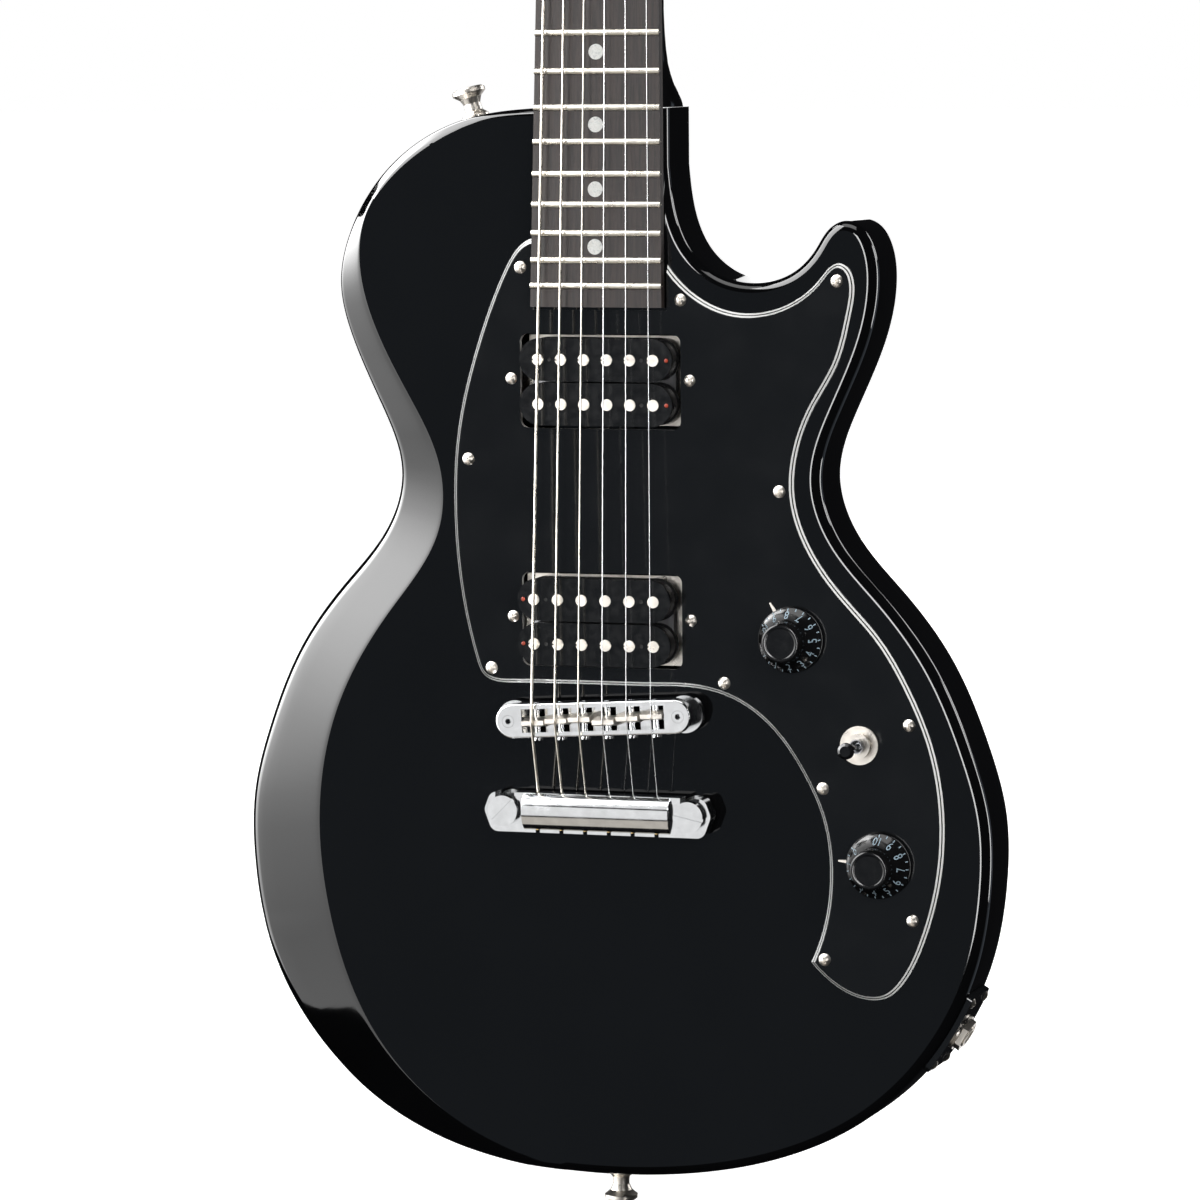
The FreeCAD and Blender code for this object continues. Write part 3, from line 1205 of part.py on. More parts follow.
def jack_plate():
    radius = jack_edge_radius() + 0.1
    centre = (0, -20, -radius + 0.1)
    arc = tube(radius + JACK_PLATE_T, radius, centre, (0, 20, -radius + 0.1))
    half_long, half_wide = JACK_PLATE_LONG / 2, JACK_PLATE_WIDE / 2
    plan = block(-half_long, half_long, -half_wide, half_wide, -8, 8)
    plan = plan.makeFillet(2.5, [e for e in plan.Edges if e.BoundBox.ZLength > 1])
    plate = arc.common(plan)
    plate = plate.cut(rod(4.8, (0, 0, -5), (0, 0, 8)))
    plate = place(plate, JACK)
    for frame in jack_screw_frames():
        plate = plate.cut(place(rod(1.3, (0, 0, 1), (0, 0, -8)), frame))
    return plate


def output_jack():
    """Socket: threaded bushing through the plate, flange behind it, contact springs inside."""
    bush = rod(4.75, (0, 0, -2.4), (0, 0, 6.2))
    flange = rod(8.5, (0, 0, -5.5), (0, 0, -1.6))
    sleeve = rod(5.5, (0, 0, -14), (0, 0, -5.5))
    frame = block(-7, 7, -7, 7, -9, -5.5)
    socket = bush.fuse([flange, sleeve, frame]).cut(rod(JACK_BORE_R, (0, 0, -15), (0, 0, 7)))
    arm = block(-2, 2, 5.0, 5.8, -33, -9).fuse(block(-2, 2, 3.6, 5.8, -33, -31))
    return [place(socket.fuse(arm), JACK)]


def control_nuts():
    nuts = [pot_nut(VOLUME_AT), pot_nut(TONE_AT)]
    seat = plate_height(0)
    nuts.append(place(tube(8.0, 4.75, (0, 0, seat), (0, 0, seat + 0.8)), JACK))
    nuts.append(place(hexagon_nut(12.7, 4.75, (0, 0, seat + 0.8), (0, 0, seat + 3.2)), JACK))
    return nuts


def strap_button():
    """Mushroom button along +z, hollow for its screw."""
    profile = [(2.2, 0), (5.8, 0), (5.8, 1.4), (3.7, 3.4), (3.5, 6.5), (4.6, 9), (7.0, 11), (7.0, 12.4),
               (6.0, 13.2), (4.2, 13.2), (4.2, 12.2), (2.2, 10.6)]
    return lathe(profile, (0, 0, 0), (0, 0, 1))


def strap_buttons():
    return [place(strap_button(), frame) for frame in (SHOULDER, BOTTOM)]


def strap_button_screws():
    screws = []
    for frame in (SHOULDER, BOTTOM):
        shank = rod(1.8, (0, 0, -25), (0, 0, 11))
        head = lathe([(0, 10.6), (2.2, 10.6), (3.9, 12), (3.4, 12.9), (0, 13.1)], (0, 0, 0), (0, 0, 1))
        cross = [block(-2, 2, -0.4, 0.4, 12.1, 14), block(-0.4, 0.4, -2, 2, 12.1, 14)]
        screws.append(place(head.fuse(shank).cut(cross), frame))
    return screws


# ---- build ------------------------------------------------------------------------------------

JACK = jack_frame()
SHOULDER = shoulder_frame()
BOTTOM = Placement(Vector(0, MID_Y, BOTTOM_Z), Rotation(Vector(0, 0, 1), Vector(0, 0, -1)))


def main():
    os.makedirs("parts", exist_ok=True)
    single = {
        "body": body, "neck": neck, "fretboard": fretboard, "frets": frets, "position_dots": position_dots,
        "nut": nut, "truss_rod": truss_rod, "truss_rod_cover": truss_rod_cover,
        "small_wood_screws": small_wood_screws, "pickguard": pickguard, "pickup_bobbins": pickup_bobbins,
        "pickup_coils": pickup_coils, "pickup_slugs": pickup_slugs, "pickup_pole_screws": pickup_pole_screws,
        "pickup_magnets": pickup_magnets, "pickup_baseplates": pickup_baseplates,
        "pickup_height_screws": pickup_height_screws, "pickup_springs": pickup_springs,
        "bridge_body": bridge_body, "bridge_saddles": bridge_saddles, "saddle_screws": saddle_screws,
        "bridge_thumbwheels": bridge_thumbwheels, "bridge_posts": bridge_posts,
        "body_bushings": body_bushings, "tailpiece": tailpiece, "tailpiece_studs": tailpiece_studs,
        "ball_ends": ball_ends, "tuner_bushings": tuner_bushings, "switch_housing": switch_housing,
        "switch_lever": switch_lever, "switch_tip": switch_tip, "switch_nut": switch_nut,
        "tone_capacitor": tone_capacitor, "hookup_wires": hookup_wires, "jack_plate": jack_plate,
        "output_jack": output_jack, "control_nuts": control_nuts, "strap_buttons": strap_buttons,
        "strap_button_screws": strap_button_screws,
    }
    for node, make in single.items():
        save(node, make())
    save("wound_strings", make_strings(range(3)))
    save("plain_strings", make_strings(range(3, 6)))
    save("tuner_housings", [tuner_housing(index) for index in range(6)])
    for index in range(6):
        save("tuner_post_%d" % (index + 1), tuner_post(index))
        save("tuner_button_%d" % (index + 1), tuner_button(index))
    save("volume_knob", knob(VOLUME_AT))
    save("tone_knob", knob(TONE_AT))
    save("volume_shaft", pot_shaft(VOLUME_AT))
    save("tone_shaft", pot_shaft(TONE_AT))
    save("pot_housings", [pot_housing(VOLUME_AT), pot_housing(TONE_AT)])
    save("knob_pointers", [knob_pointer(VOLUME_AT, POINTER_ANGLES["volume"]),
                           knob_pointer(TONE_AT, POINTER_ANGLES["tone"])])


main()
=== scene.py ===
"""Electric guitar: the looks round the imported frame. Metres; +Z up the neck, front towards -Y."""
import json
import math

import bmesh
import bpy
import numpy as np
from mathutils import Matrix, Vector

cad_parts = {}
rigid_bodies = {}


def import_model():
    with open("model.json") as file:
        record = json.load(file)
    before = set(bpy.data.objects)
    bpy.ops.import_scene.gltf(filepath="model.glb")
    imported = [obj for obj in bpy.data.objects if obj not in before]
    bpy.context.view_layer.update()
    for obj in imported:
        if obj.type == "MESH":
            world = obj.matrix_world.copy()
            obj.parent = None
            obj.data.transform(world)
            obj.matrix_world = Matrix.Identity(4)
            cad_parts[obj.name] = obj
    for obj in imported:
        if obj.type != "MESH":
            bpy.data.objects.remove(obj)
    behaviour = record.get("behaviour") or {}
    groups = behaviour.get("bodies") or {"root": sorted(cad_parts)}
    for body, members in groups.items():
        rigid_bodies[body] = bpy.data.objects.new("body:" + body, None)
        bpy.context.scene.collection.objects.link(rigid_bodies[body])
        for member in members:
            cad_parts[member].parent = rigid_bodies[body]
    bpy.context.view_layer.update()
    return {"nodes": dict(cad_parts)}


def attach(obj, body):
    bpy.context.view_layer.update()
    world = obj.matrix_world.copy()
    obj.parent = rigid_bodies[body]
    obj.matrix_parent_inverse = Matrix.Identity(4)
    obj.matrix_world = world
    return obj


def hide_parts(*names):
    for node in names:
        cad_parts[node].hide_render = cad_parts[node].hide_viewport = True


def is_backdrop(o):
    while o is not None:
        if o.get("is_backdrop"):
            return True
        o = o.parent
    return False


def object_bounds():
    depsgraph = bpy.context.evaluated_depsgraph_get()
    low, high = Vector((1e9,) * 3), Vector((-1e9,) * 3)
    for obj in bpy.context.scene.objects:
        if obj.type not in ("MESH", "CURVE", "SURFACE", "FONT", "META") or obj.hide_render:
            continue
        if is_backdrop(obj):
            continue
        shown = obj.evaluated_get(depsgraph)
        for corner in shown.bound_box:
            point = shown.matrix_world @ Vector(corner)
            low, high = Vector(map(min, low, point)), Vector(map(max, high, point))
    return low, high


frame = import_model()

NODES = frame["nodes"]
MM = 0.001

# ---- driving values, millimetres unless a name says otherwise --------------------------------

BODY_FRONT = -35.0
GUARD_FACE = -37.5
WHITE_PLIES = ((0.08, 0.34), (0.5, 0.76))

# Body outline as (x, z), the lower half mirrored, and the square end under the neck
SIDE_POINTS = [(117.5, 177), (113, 154), (100.5, 124.5), (93, 98), (100.5, 73.5), (120, 50), (141, 22),
               (156, -12), (163.6, -40), (164, -70), (156.5, -107), (139, -139), (111, -166.5),
               (67, -186.8), (22, -194.4)]
BOTTOM_POINT = (0, -195.2)
SHOULDER_POINTS = [(-28.5, 249.5), (-48, 247.6), (-73.5, 239.6), (-98, 221), (-112.5, 198)]
HORN_POINTS = [(115.2, 194), (110.5, 201), (103, 203.4), (96.5, 200), (91, 192)]
CUTAWAY_POINTS = [(81, 182.2), (66, 177.9), (50, 181), (38, 191), (31.2, 206.5), (28.5, 226)]
JOINT_CORNER = (28.5, 249.5)
EDGE_ROUND = 4.5

# Arm bevel: (crest x, crest z), (outline x, outline z), depth at the outline
BEVEL_STATIONS = [((-29, 249.8), (-29, 252), 0.4), ((-55, 243.6), (-56.5, 246.6), 1.8),
                  ((-86, 227), (-90, 230), 3.6), ((-103.4, 205), (-110.5, 207), 5.2),
                  ((-106.2, 184), (-117, 184), 6.4), ((-101, 162), (-115.5, 160), 7.4),
                  ((-85, 130), (-102, 127), 8.6), ((-72, 101), (-93, 101), 10),
                  ((-72.5, 75), (-96, 81), 11.2), ((-94, 41), (-115.5, 55), 12.6),
                  ((-118.5, 0), (-147, 11), 14), ((-128, -48), (-163.8, -44), 15),
                  ((-124, -88), (-160, -93), 14.2), ((-104.5, -138.5), (-126, -154), 11),
                  ((-59, -179.5), (-66, -187.4), 4.4), ((-20, -194), (-20, -197), 0.4)]
BEVEL_LIP = ((5, 13), (0.7, 5.0))  # round of the bevel's outer edge: bevel depths, radii
THINNEST_EDGE = 0.5
CREST_SOFTNESS = 0.35
OUTLINE_STEPS = 22
BEVEL_STEPS = 12
EDGE_ANGLES = range(0, 91, 9)
FLAT_SHARES = (0.25, 0.5, 0.75, 0.9, 0.96, 1, 1.04, 1.1)

# Routs in the body: pickups, neck tenon, controls (x, z, radius)
PICKUP_ZS = (137.2, 38.3)
PICKUP_ROUT = (44.5, 20.6, 20)
TENON_ROUT = (19, 181, 24)
CONTROL_ROUTS = [(82, 32.5, 19), (110.4, -10.3, 17), (119, -59.3, 18)]
CONTROL_DEPTH = 27
CHANNEL_HALF = 12
ROUT_CORNER = 4

# Camera
CAMERA_AT = (754.4, -2304.2, 282.9)
CAMERA_TARGET = (-1.6, -35.0, 46.5)
CAMERA_ROLL = -0.454
CAMERA_LENS = 174.2

# Lights: place, width, height, brightness of the surface, colour, what it lights
NEUTRAL, COOL, WARM = (1, 1, 1), (0.84, 0.98, 1.14), (1, 0.93, 0.83)
SOFT_BOXES = {
    "overhead": ((0, -700, 2300), 1800, 1400, 3.0, NEUTRAL, "all"),
    "front_dark": ((-1500, -3700, -300), 3000, 3000, 0.17, COOL, "gloss"),
    "front_pale": ((-1500, -3650, -300), 3000, 3000, 0.9, NEUTRAL, "plain"),
    "plated_high": ((-900, -1900, 1900), 2200, 1700, 0.85, NEUTRAL, "plain"),
    "plated_low": ((-700, -1500, -2000), 2200, 1900, 0.55, WARM, "plain"),
    "plated_back": ((150, 2700, -1000), 1500, 1000, 1.2, NEUTRAL, "plain"),
    "fill": ((1900, -1900, 900), 1500, 1500, 6.5, NEUTRAL, "diffuse"),
    "strip_front": ((250, -2880, 200), 560, 1900, 16, NEUTRAL, "gloss"),
    "strip_side": ((2300, 1200, 200), 600, 1900, 9, NEUTRAL, "gloss"),
    "strip_plated": ((1700, -1900, 300), 120, 1900, 15, NEUTRAL, "plain"),
    "behind": ((-960, 2830, 500), 700, 800, 1.6, NEUTRAL, "all"),
    "back_right": ((1900, 2200, 1200), 900, 1400, 5, NEUTRAL, "all"),
    "back_dark": ((2300, 2300, -800), 2600, 2600, 0.25, COOL, "gloss"),
}
LIGHT_TARGET = (0, 0, 60)

# Tall key panel at the left: its two ends as (x, y), height against brightness, and the gain at its far end
KEY_ENDS = ((-1400, -2460), (-3590, 1040))
KEY_LEVELS = [(-1200, 2.1), (-740, 1.95), (-370, 2.6), (-200, 3.3), (-40, 4.4), (140, 5.75), (310, 7.3),
              (530, 9.0), (750, 10.2), (1300, 11.0), (4600, 12.5)]
KEY_FAR_GAIN = 1.9
KEY_FAR_X = (-2750, -2450)

GLOSS_SLOTS = ("body_finish", "neck_finish", "guard_plastic", "knob_plastic", "bobbin_plastic", "rosewood",
               "nut_bone", "wire_insulation")
BACKGROUND = (1.0, 1.0, 1.0)
ROOM = (0.008, 0.008, 0.009)

# Knobs: (x, z), pointer angle, number at the pointer; numbers rise counter-clockwise, 30 degrees each
KNOBS = {"volume": ((82, 32.5), 122, 9), "tone": ((119, -59.3), 176, 1)}
KNOB_BASE = -39.4
KNOB_PROFILE = [(13.3, 0), (13.5, 0.3), (13.5, 1.6), (13.3, 2.0), (12.6, 2.5), (11.6, 3.4), (10.6, 4.6),
                (9.7, 6.0), (9.0, 7.3), (8.5, 8.5), (8.3, 10), (7.95, 15.2), (7.8, 15.65), (7.35, 15.87),
                (7.1, 15.9), (6.3, 15.9), (6.15, 15.8), (5.95, 15.8), (0.4, 15.8)]
DIAL_STEP = 30.0
DIGIT_RADIUS = 10.8
DIGIT_SIZE = 3.9
TICK_RADII = (12.2, 13.2)
TICK_HALF = 0.2
PRINT_LIFT = 0.07

# Tailpiece ridge: half length, its crest as (z, y), and how far the skin stands off it.
# Rings of the skin as (x, lift); past each end it dips in
RIDGE_HALF = 31.8
RIDGE_CREST = [(-49.8, -44), (-46.5, -48.4), (-42.75, -50), (-36.5, -49.2), (-33.7, -46)]
RIDGE_LIFT = 0.12
RIDGE_STEPS = 14
RIDGE_RINGS = [(-RIDGE_HALF - 0.15, -0.3), (-RIDGE_HALF, RIDGE_LIFT * 0.7), (-RIDGE_HALF + 0.4, RIDGE_LIFT),
               (RIDGE_HALF - 0.4, RIDGE_LIFT), (RIDGE_HALF, RIDGE_LIFT * 0.7), (RIDGE_HALF + 0.15, -0.3)]

# Bobbins: pickup centre z, bobbin face y, side of its red lead ends, distance between poles
BOBBINS = {"neck": (137.2, -43.8, 1, 9.95), "bridge": (38.3, -48.6, -1, 10.35)}
ROW_OFFSET = 9.2
LEAD_X = 30.6
LEAD_PROFILE = [(0.85, -0.3), (0.85, 0.1), (0.6, 0.4), (0.2, 0.5)]
# Painted shade of the moulding hollows: (radius, height towards the front) of a near-black matte disc on
# the bobbin face
HOLE_SHADE_PROFILE = [(0.8, -0.2), (0.8, 0.04), (0.5, 0.04), (0.45, 0.02)]
SMALL_ROUND_SEGMENTS = 16

FLOOR_HALF_METRES = 30


# ---- node helpers -----------------------------------------------------------------------------

def add(tree, kind, **settings):
    """New node of this kind with its settings."""
    made = tree.nodes.new(kind)
    for name, value in settings.items():
        setattr(made, name, value)
    return made


def surface(name, colour, roughness, metallic=0.0, ior=1.5):
    """New material; returns it, its tree and its Principled shader."""
    material = bpy.data.materials.new(name)
    material.use_nodes = True
    tree = material.node_tree
    shader = tree.nodes["Principled BSDF"]
    shader.inputs["Base Color"].default_value = (*colour, 1)
    shader.inputs["Roughness"].default_value = roughness
    shader.inputs["Metallic"].default_value = metallic
    shader.inputs["IOR"].default_value = ior
    material.diffuse_color = (*colour, 1)
    return material, tree, shader


def in_mm(tree, stretch=(1, 1, 1)):
    """Object coordinates in millimetres, each axis divided by stretch."""
    place = add(tree, "ShaderNodeTexCoord")
    scale = add(tree, "ShaderNodeMapping")
    scale.inputs["Scale"].default_value = [1 / (MM * s) for s in stretch]
    tree.links.new(place.outputs["Object"], scale.inputs["Vector"])
    return scale.outputs["Vector"]


def noise(tree, vector, size, detail=3.0, distortion=0.0):
    """Noise whose features are about size millimetres."""
    made = add(tree, "ShaderNodeTexNoise")
    made.inputs["Scale"].default_value = 1 / size
    made.inputs["Detail"].default_value = detail
    made.inputs["Distortion"].default_value = distortion
    tree.links.new(vector, made.inputs["Vector"])
    return made.outputs["Fac"]


def ramp(tree, value, stops):
    """Colour ramp over a value, its stops as (position, colour)."""
    made = add(tree, "ShaderNodeValToRGB")
    elements = made.color_ramp.elements
    while len(elements) < len(stops):
        elements.new(0.5)
    for element, (position, colour) in zip(elements, stops):
        element.position = position
        element.color = (*colour, 1)
    tree.links.new(value, made.inputs["Fac"])
    return made.outputs["Color"]


def remap(tree, value, low, high, from_low=0.3, from_high=0.7):
    """Value moved from one range to another, clamped."""
    made = add(tree, "ShaderNodeMapRange")
    made.inputs["From Min"].default_value = from_low
    made.inputs["From Max"].default_value = from_high
    made.inputs["To Min"].default_value = low
    made.inputs["To Max"].default_value = high
    tree.links.new(value, made.inputs["Value"])
    return made.outputs["Result"]


def bump(tree, shader, height, depth, strength=1.0):
    """Bump of depth millimetres on the shader's normal."""
    made = add(tree, "ShaderNodeBump")
    made.inputs["Strength"].default_value = strength
    made.inputs["Distance"].default_value = depth * MM
    tree.links.new(height, made.inputs["Height"])
    tree.links.new(made.outputs["Normal"], shader.inputs["Normal"])


def axis_of(tree, vector, axis):
    """One axis of a vector."""
    made = add(tree, "ShaderNodeSeparateXYZ")
    tree.links.new(vector, made.inputs["Vector"])
    return made.outputs[axis]


def tint(colour, factor):
    """Colour made lighter or darker by a factor."""
    return tuple(c * factor for c in colour)


# ---- materials --------------------------------------------------------------------------------

def lacquer(name, colour, roughness):
    """Gloss lacquer with a faint orange peel and polishing haze."""
    material, tree, shader = surface(name, colour, roughness, ior=1.5)
    place = in_mm(tree)
    tree.links.new(ramp(tree, noise(tree, place, 60), [(0.3, tint(colour, 0.8)), (0.7, tint(colour, 1.2))]),
                   shader.inputs["Base Color"])
    tree.links.new(remap(tree, noise(tree, place, 35, 5), roughness * 0.6, roughness * 1.5),
                   shader.inputs["Roughness"])
    bump(tree, shader, noise(tree, place, 5, 1), 0.0006)
    return material


def metal(name, colour, roughness, scratch=(1, 1, 12), depth=0.002):
    """Plated metal with fine scratches along one axis and a cloudy roughness."""
    material, tree, shader = surface(name, colour, roughness, metallic=1.0)
    fine = noise(tree, in_mm(tree, scratch), 0.25, 4)
    cloud = noise(tree, in_mm(tree), 4, 3)
    tree.links.new(ramp(tree, cloud, [(0.3, tint(colour, 0.93)), (0.7, tint(colour, 1.04))]),
                   shader.inputs["Base Color"])
    tree.links.new(remap(tree, cloud, roughness * 0.75, roughness * 1.3), shader.inputs["Roughness"])
    bump(tree, shader, fine, depth)
    return material


def plastic(name, colour, roughness, grain=0.6, depth=0.004):
    """Moulded plastic with a fine grain."""
    material, tree, shader = surface(name, colour, roughness, ior=1.49)
    place = in_mm(tree)
    tree.links.new(ramp(tree, noise(tree, place, 9), [(0.3, tint(colour, 0.85)), (0.7, tint(colour, 1.2))]),
                   shader.inputs["Base Color"])
    tree.links.new(remap(tree, noise(tree, place, 3, 4), roughness * 0.8, roughness * 1.25),
                   shader.inputs["Roughness"])
    bump(tree, shader, noise(tree, place, grain, 2), depth)
    return material


def rosewood():
    """Open-pored dark wood, its grain along the neck."""
    material, tree, shader = surface("rosewood", (0.03, 0.022, 0.019), 0.5, ior=1.4)
    streaks = noise(tree, in_mm(tree, (1, 1, 45)), 1.3, 6, 0.4)
    pores = noise(tree, in_mm(tree, (1, 1, 16)), 0.28, 3)
    colour = ramp(tree, streaks, [(0.25, (0.005, 0.0035, 0.003)), (0.45, (0.015, 0.0105, 0.0095)),
                                  (0.6, (0.026, 0.018, 0.0155)), (0.8, (0.009, 0.006, 0.0055))])
    dark = ramp(tree, pores, [(0.3, (0.35, 0.35, 0.35)), (0.46, (1, 1, 1))])
    mix = add(tree, "ShaderNodeMix", data_type="RGBA", blend_type="MULTIPLY")
    mix.inputs["Factor"].default_value = 0.8
    tree.links.new(colour, mix.inputs["A"])
    tree.links.new(dark, mix.inputs["B"])
    tree.links.new(mix.outputs["Result"], shader.inputs["Base Color"])
    tree.links.new(remap(tree, streaks, 0.4, 0.58), shader.inputs["Roughness"])
    bump(tree, shader, pores, 0.05, 0.7)
    return material


def pearl():
    """Mottled mother-of-pearl substitute."""
    material, tree, shader = surface("pearl", (0.8, 0.8, 0.78), 0.22)
    shader.inputs["Coat Weight"].default_value = 0.5
    shader.inputs["Coat Roughness"].default_value = 0.08
    clouds = noise(tree, in_mm(tree), 1.6, 4, 1.2)
    tree.links.new(ramp(tree, clouds, [(0.3, (0.55, 0.57, 0.56)), (0.5, (0.86, 0.87, 0.84)),
                                       (0.7, (0.7, 0.69, 0.66))]), shader.inputs["Base Color"])
    tree.links.new(remap(tree, clouds, 0.15, 0.3), shader.inputs["Roughness"])
    bump(tree, shader, clouds, 0.003)
    return material


def guard_ply():
    """Five-ply pickguard: black faces, and two white plies that show on the cut edge."""
    black, white = (0.0042, 0.0045, 0.005), (0.72, 0.72, 0.7)
    material, tree, shader = surface("guard_plastic", black, 0.12)
    place = in_mm(tree)
    level = axis_of(tree, place, "Y")
    core = ramp(tree, remap(tree, level, 0, 1, GUARD_FACE, BODY_FRONT),
                [(0.0, black)] + [stop for low, high in WHITE_PLIES for stop in
                                  ((low, black), (low + 0.01, white), (high, white), (high + 0.01, black))])
    tree.links.new(core, shader.inputs["Base Color"])
    tree.links.new(remap(tree, noise(tree, place, 20, 5), 0.09, 0.16), shader.inputs["Roughness"])
    bump(tree, shader, noise(tree, place, 1.5, 3), 0.0015)
    return material


def wound(name, colour, pitch):
    """Wire wound round a core: ridges across the string, pitch millimetres apart."""
    material, tree, shader = surface(name, colour, 0.3, metallic=1.0)
    place = in_mm(tree)
    rings = add(tree, "ShaderNodeTexWave", wave_type="BANDS", bands_direction="Z", wave_profile="SIN")
    rings.inputs["Scale"].default_value = math.tau / (20 * pitch)
    tree.links.new(place, rings.inputs["Vector"])
    dull = noise(tree, place, 6, 3)
    tree.links.new(ramp(tree, dull, [(0.3, tint(colour, 0.85)), (0.7, tint(colour, 1.1))]),
                   shader.inputs["Base Color"])
    tree.links.new(remap(tree, dull, 0.24, 0.36), shader.inputs["Roughness"])
    bump(tree, shader, rings.outputs["Fac"], 0.01, 0.3)
    return material


MATERIALS = {
    "body_finish": lacquer("body_finish", (0.0022, 0.0023, 0.0026), 0.045),
    "neck_finish": lacquer("neck_finish", (0.0022, 0.0022, 0.0024), 0.05),
    "rosewood": rosewood(),
    "fret_wire": metal("fret_wire", (0.8, 0.76, 0.68), 0.3, (0.1, 1, 1), 0.0004),
    "pearl": pearl(),
    "nut_bone": plastic("nut_bone", (0.02, 0.02, 0.02), 0.3),
    "steel": metal("steel", (0.55, 0.55, 0.56), 0.28),
    "nickel": metal("nickel", (0.86, 0.81, 0.74), 0.34),
    "chrome": metal("chrome", (0.78, 0.79, 0.8), 0.12, (12, 1, 1), 0.0004),
    "brass": metal("brass", (0.72, 0.52, 0.25), 0.3),
    "guard_plastic": guard_ply(),
    "bobbin_plastic": plastic("bobbin_plastic", (0.0028, 0.0028, 0.003), 0.2, 0.9, 0.0008),
    "coil_wire": wound("coil_wire", (0.03, 0.02, 0.015), 0.5),
    "magnet": metal("magnet", (0.3, 0.3, 0.31), 0.5),
    "capacitor_ceramic": plastic("capacitor_ceramic", (0.45, 0.16, 0.03), 0.4),
    "wire_insulation": plastic("wire_insulation", (0.02, 0.02, 0.02), 0.45),
    "string_nickel": wound("string_nickel", (0.86, 0.81, 0.72), 0.32),
    "string_steel": metal("string_steel", (0.86, 0.86, 0.87), 0.3, (1, 1, 0.05), 0.0002),
    "knob_plastic": plastic("knob_plastic", (0.0045, 0.0045, 0.0048), 0.16, 0.8, 0.002),
    "aluminium": metal("aluminium", (0.8, 0.8, 0.81), 0.25),
}
DIAL_PRINT = plastic("dial_print", (0.3, 0.4, 0.47), 0.5)
RED_LEAD = plastic("red_lead", (0.42, 0.05, 0.02), 0.45)
# Painted shade: near-black matte colour standing in for the dark inside of a moulding hollow
PAINTED_HOLE_SHADE = plastic("recess", (0.001, 0.001, 0.001), 0.8)


def dress_frame():
    """Puts the made materials on the CAD nodes in place of the imported flat ones."""
    for piece in NODES.values():
        for holder in piece.material_slots:
            holder.material = MATERIALS[holder.material.name]
    for name, material in MATERIALS.items():
        bpy.data.materials.remove(bpy.data.materials[name])
        material.name = name


# ---- mesh helpers -----------------------------------------------------------------------------

def link(piece):
    """Puts an object in the scene and returns it."""
    bpy.context.scene.collection.objects.link(piece)
    return piece


def from_grid(name, rings, closed_around=True, caps=True):
    """Mesh from rings of points in millimetres; neighbouring rings are joined, the ends capped."""
    count, length = len(rings), len(rings[0])
    points = [tuple(c * MM for c in point) for ring in rings for point in ring]
    faces = []
    for row in range(count - 1):
        for column in range(length if closed_around else length - 1):
            after = (column + 1) % length
            faces.append((row * length + column, row * length + after,
                          (row + 1) * length + after, (row + 1) * length + column))
    if caps:
        faces.append(tuple(range(length))[::-1])
        faces.append(tuple((count - 1) * length + column for column in range(length)))
    mesh = bpy.data.meshes.new(name)
    mesh.from_pydata(points, [], faces)
    return link(bpy.data.objects.new(name, mesh))


def finish_mesh(piece, sharp=35.0):
    """Consistent outward faces, smooth apart from sharp edges."""
    shape = bmesh.new()
    shape.from_mesh(piece.data)
    bmesh.ops.recalc_face_normals(shape, faces=shape.faces)
    shape.to_mesh(piece.data)
    shape.free()
    piece.data.shade_smooth()
    piece.data.set_sharp_from_angle(angle=math.radians(sharp))
    return piece


def cubic_through(points, steps):
    """Smooth curve through the points, steps samples between each two, as an array."""
    knots = np.array(points, float)
    lengths = np.linalg.norm(np.diff(knots, axis=0), axis=1)
    count = len(knots)
    system, wanted = np.zeros((count, count)), np.zeros_like(knots)
    system[0, 0] = system[-1, -1] = 1
    for i in range(1, count - 1):
        before, after = lengths[i - 1], lengths[i]
        system[i, i - 1:i + 2] = before, 2 * (before + after), after
        wanted[i] = 6 * ((knots[i + 1] - knots[i]) / after - (knots[i] - knots[i - 1]) / before)
    bend = np.linalg.solve(system, wanted)
    samples = []
    for i, length in enumerate(lengths):
        for part in np.arange(steps) / steps:
            a, b = 1 - part, part
            samples.append(a * knots[i] + b * knots[i + 1] + length ** 2 / 6
                           * ((a ** 3 - a) * bend[i] + (b ** 3 - b) * bend[i + 1]))
    return np.array(samples + [knots[-1]])


def cut_away(piece, cutters):
    """Cuts closed pieces out of a piece and removes them."""
    for cutter in cutters:
        change = piece.modifiers.new("cut", "BOOLEAN")
        change.operation = "DIFFERENCE"
        change.solver = "EXACT"
        change.object = cutter
        apply_modifiers(piece)
        bpy.data.objects.remove(cutter)


def apply_modifiers(piece):
    """Bakes a piece's modifiers into its mesh."""
    bpy.context.view_layer.update()
    seen = piece.evaluated_get(bpy.context.evaluated_depsgraph_get())
    mesh = bpy.data.meshes.new_from_object(seen)
    piece.modifiers.clear()
    piece.data = mesh


def prism(name, outline, y0, y1):
    """Straight block over an outline of (x, z)."""
    return from_grid(name, [[(x, y, z) for x, z in outline] for y in (y0, y1)])


def dress(piece, slot, body="guitar", material=None):
    """Gives a made piece its material, the slot's own unless one is given, and its body."""
    piece.data.materials.clear()
    piece.data.materials.append(material or MATERIALS[slot])
    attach(piece, body)


def lathed(name, profile, centre, base, segments=96):
    """Round piece on the front: profile of (radius, height towards the front) about the centre (x, z)."""
    x, z = centre
    turns = [math.tau * step / segments for step in range(segments)]
    rings = [[(x + radius * math.cos(turn), base - height, z + radius * math.sin(turn)) for turn in turns]
             for radius, height in profile]
    return finish_mesh(from_grid(name, rings))


# ---- body shell -------------------------------------------------------------------------------

def body_outline():
    """Points round the body, from the neck end of the shoulder to the neck end of the cutaway."""
    mirrored = [(-x, z) for x, z in SIDE_POINTS]
    loop = SHOULDER_POINTS + mirrored + [BOTTOM_POINT] + SIDE_POINTS[::-1] + HORN_POINTS + CUTAWAY_POINTS
    return cubic_through(loop, OUTLINE_STEPS)


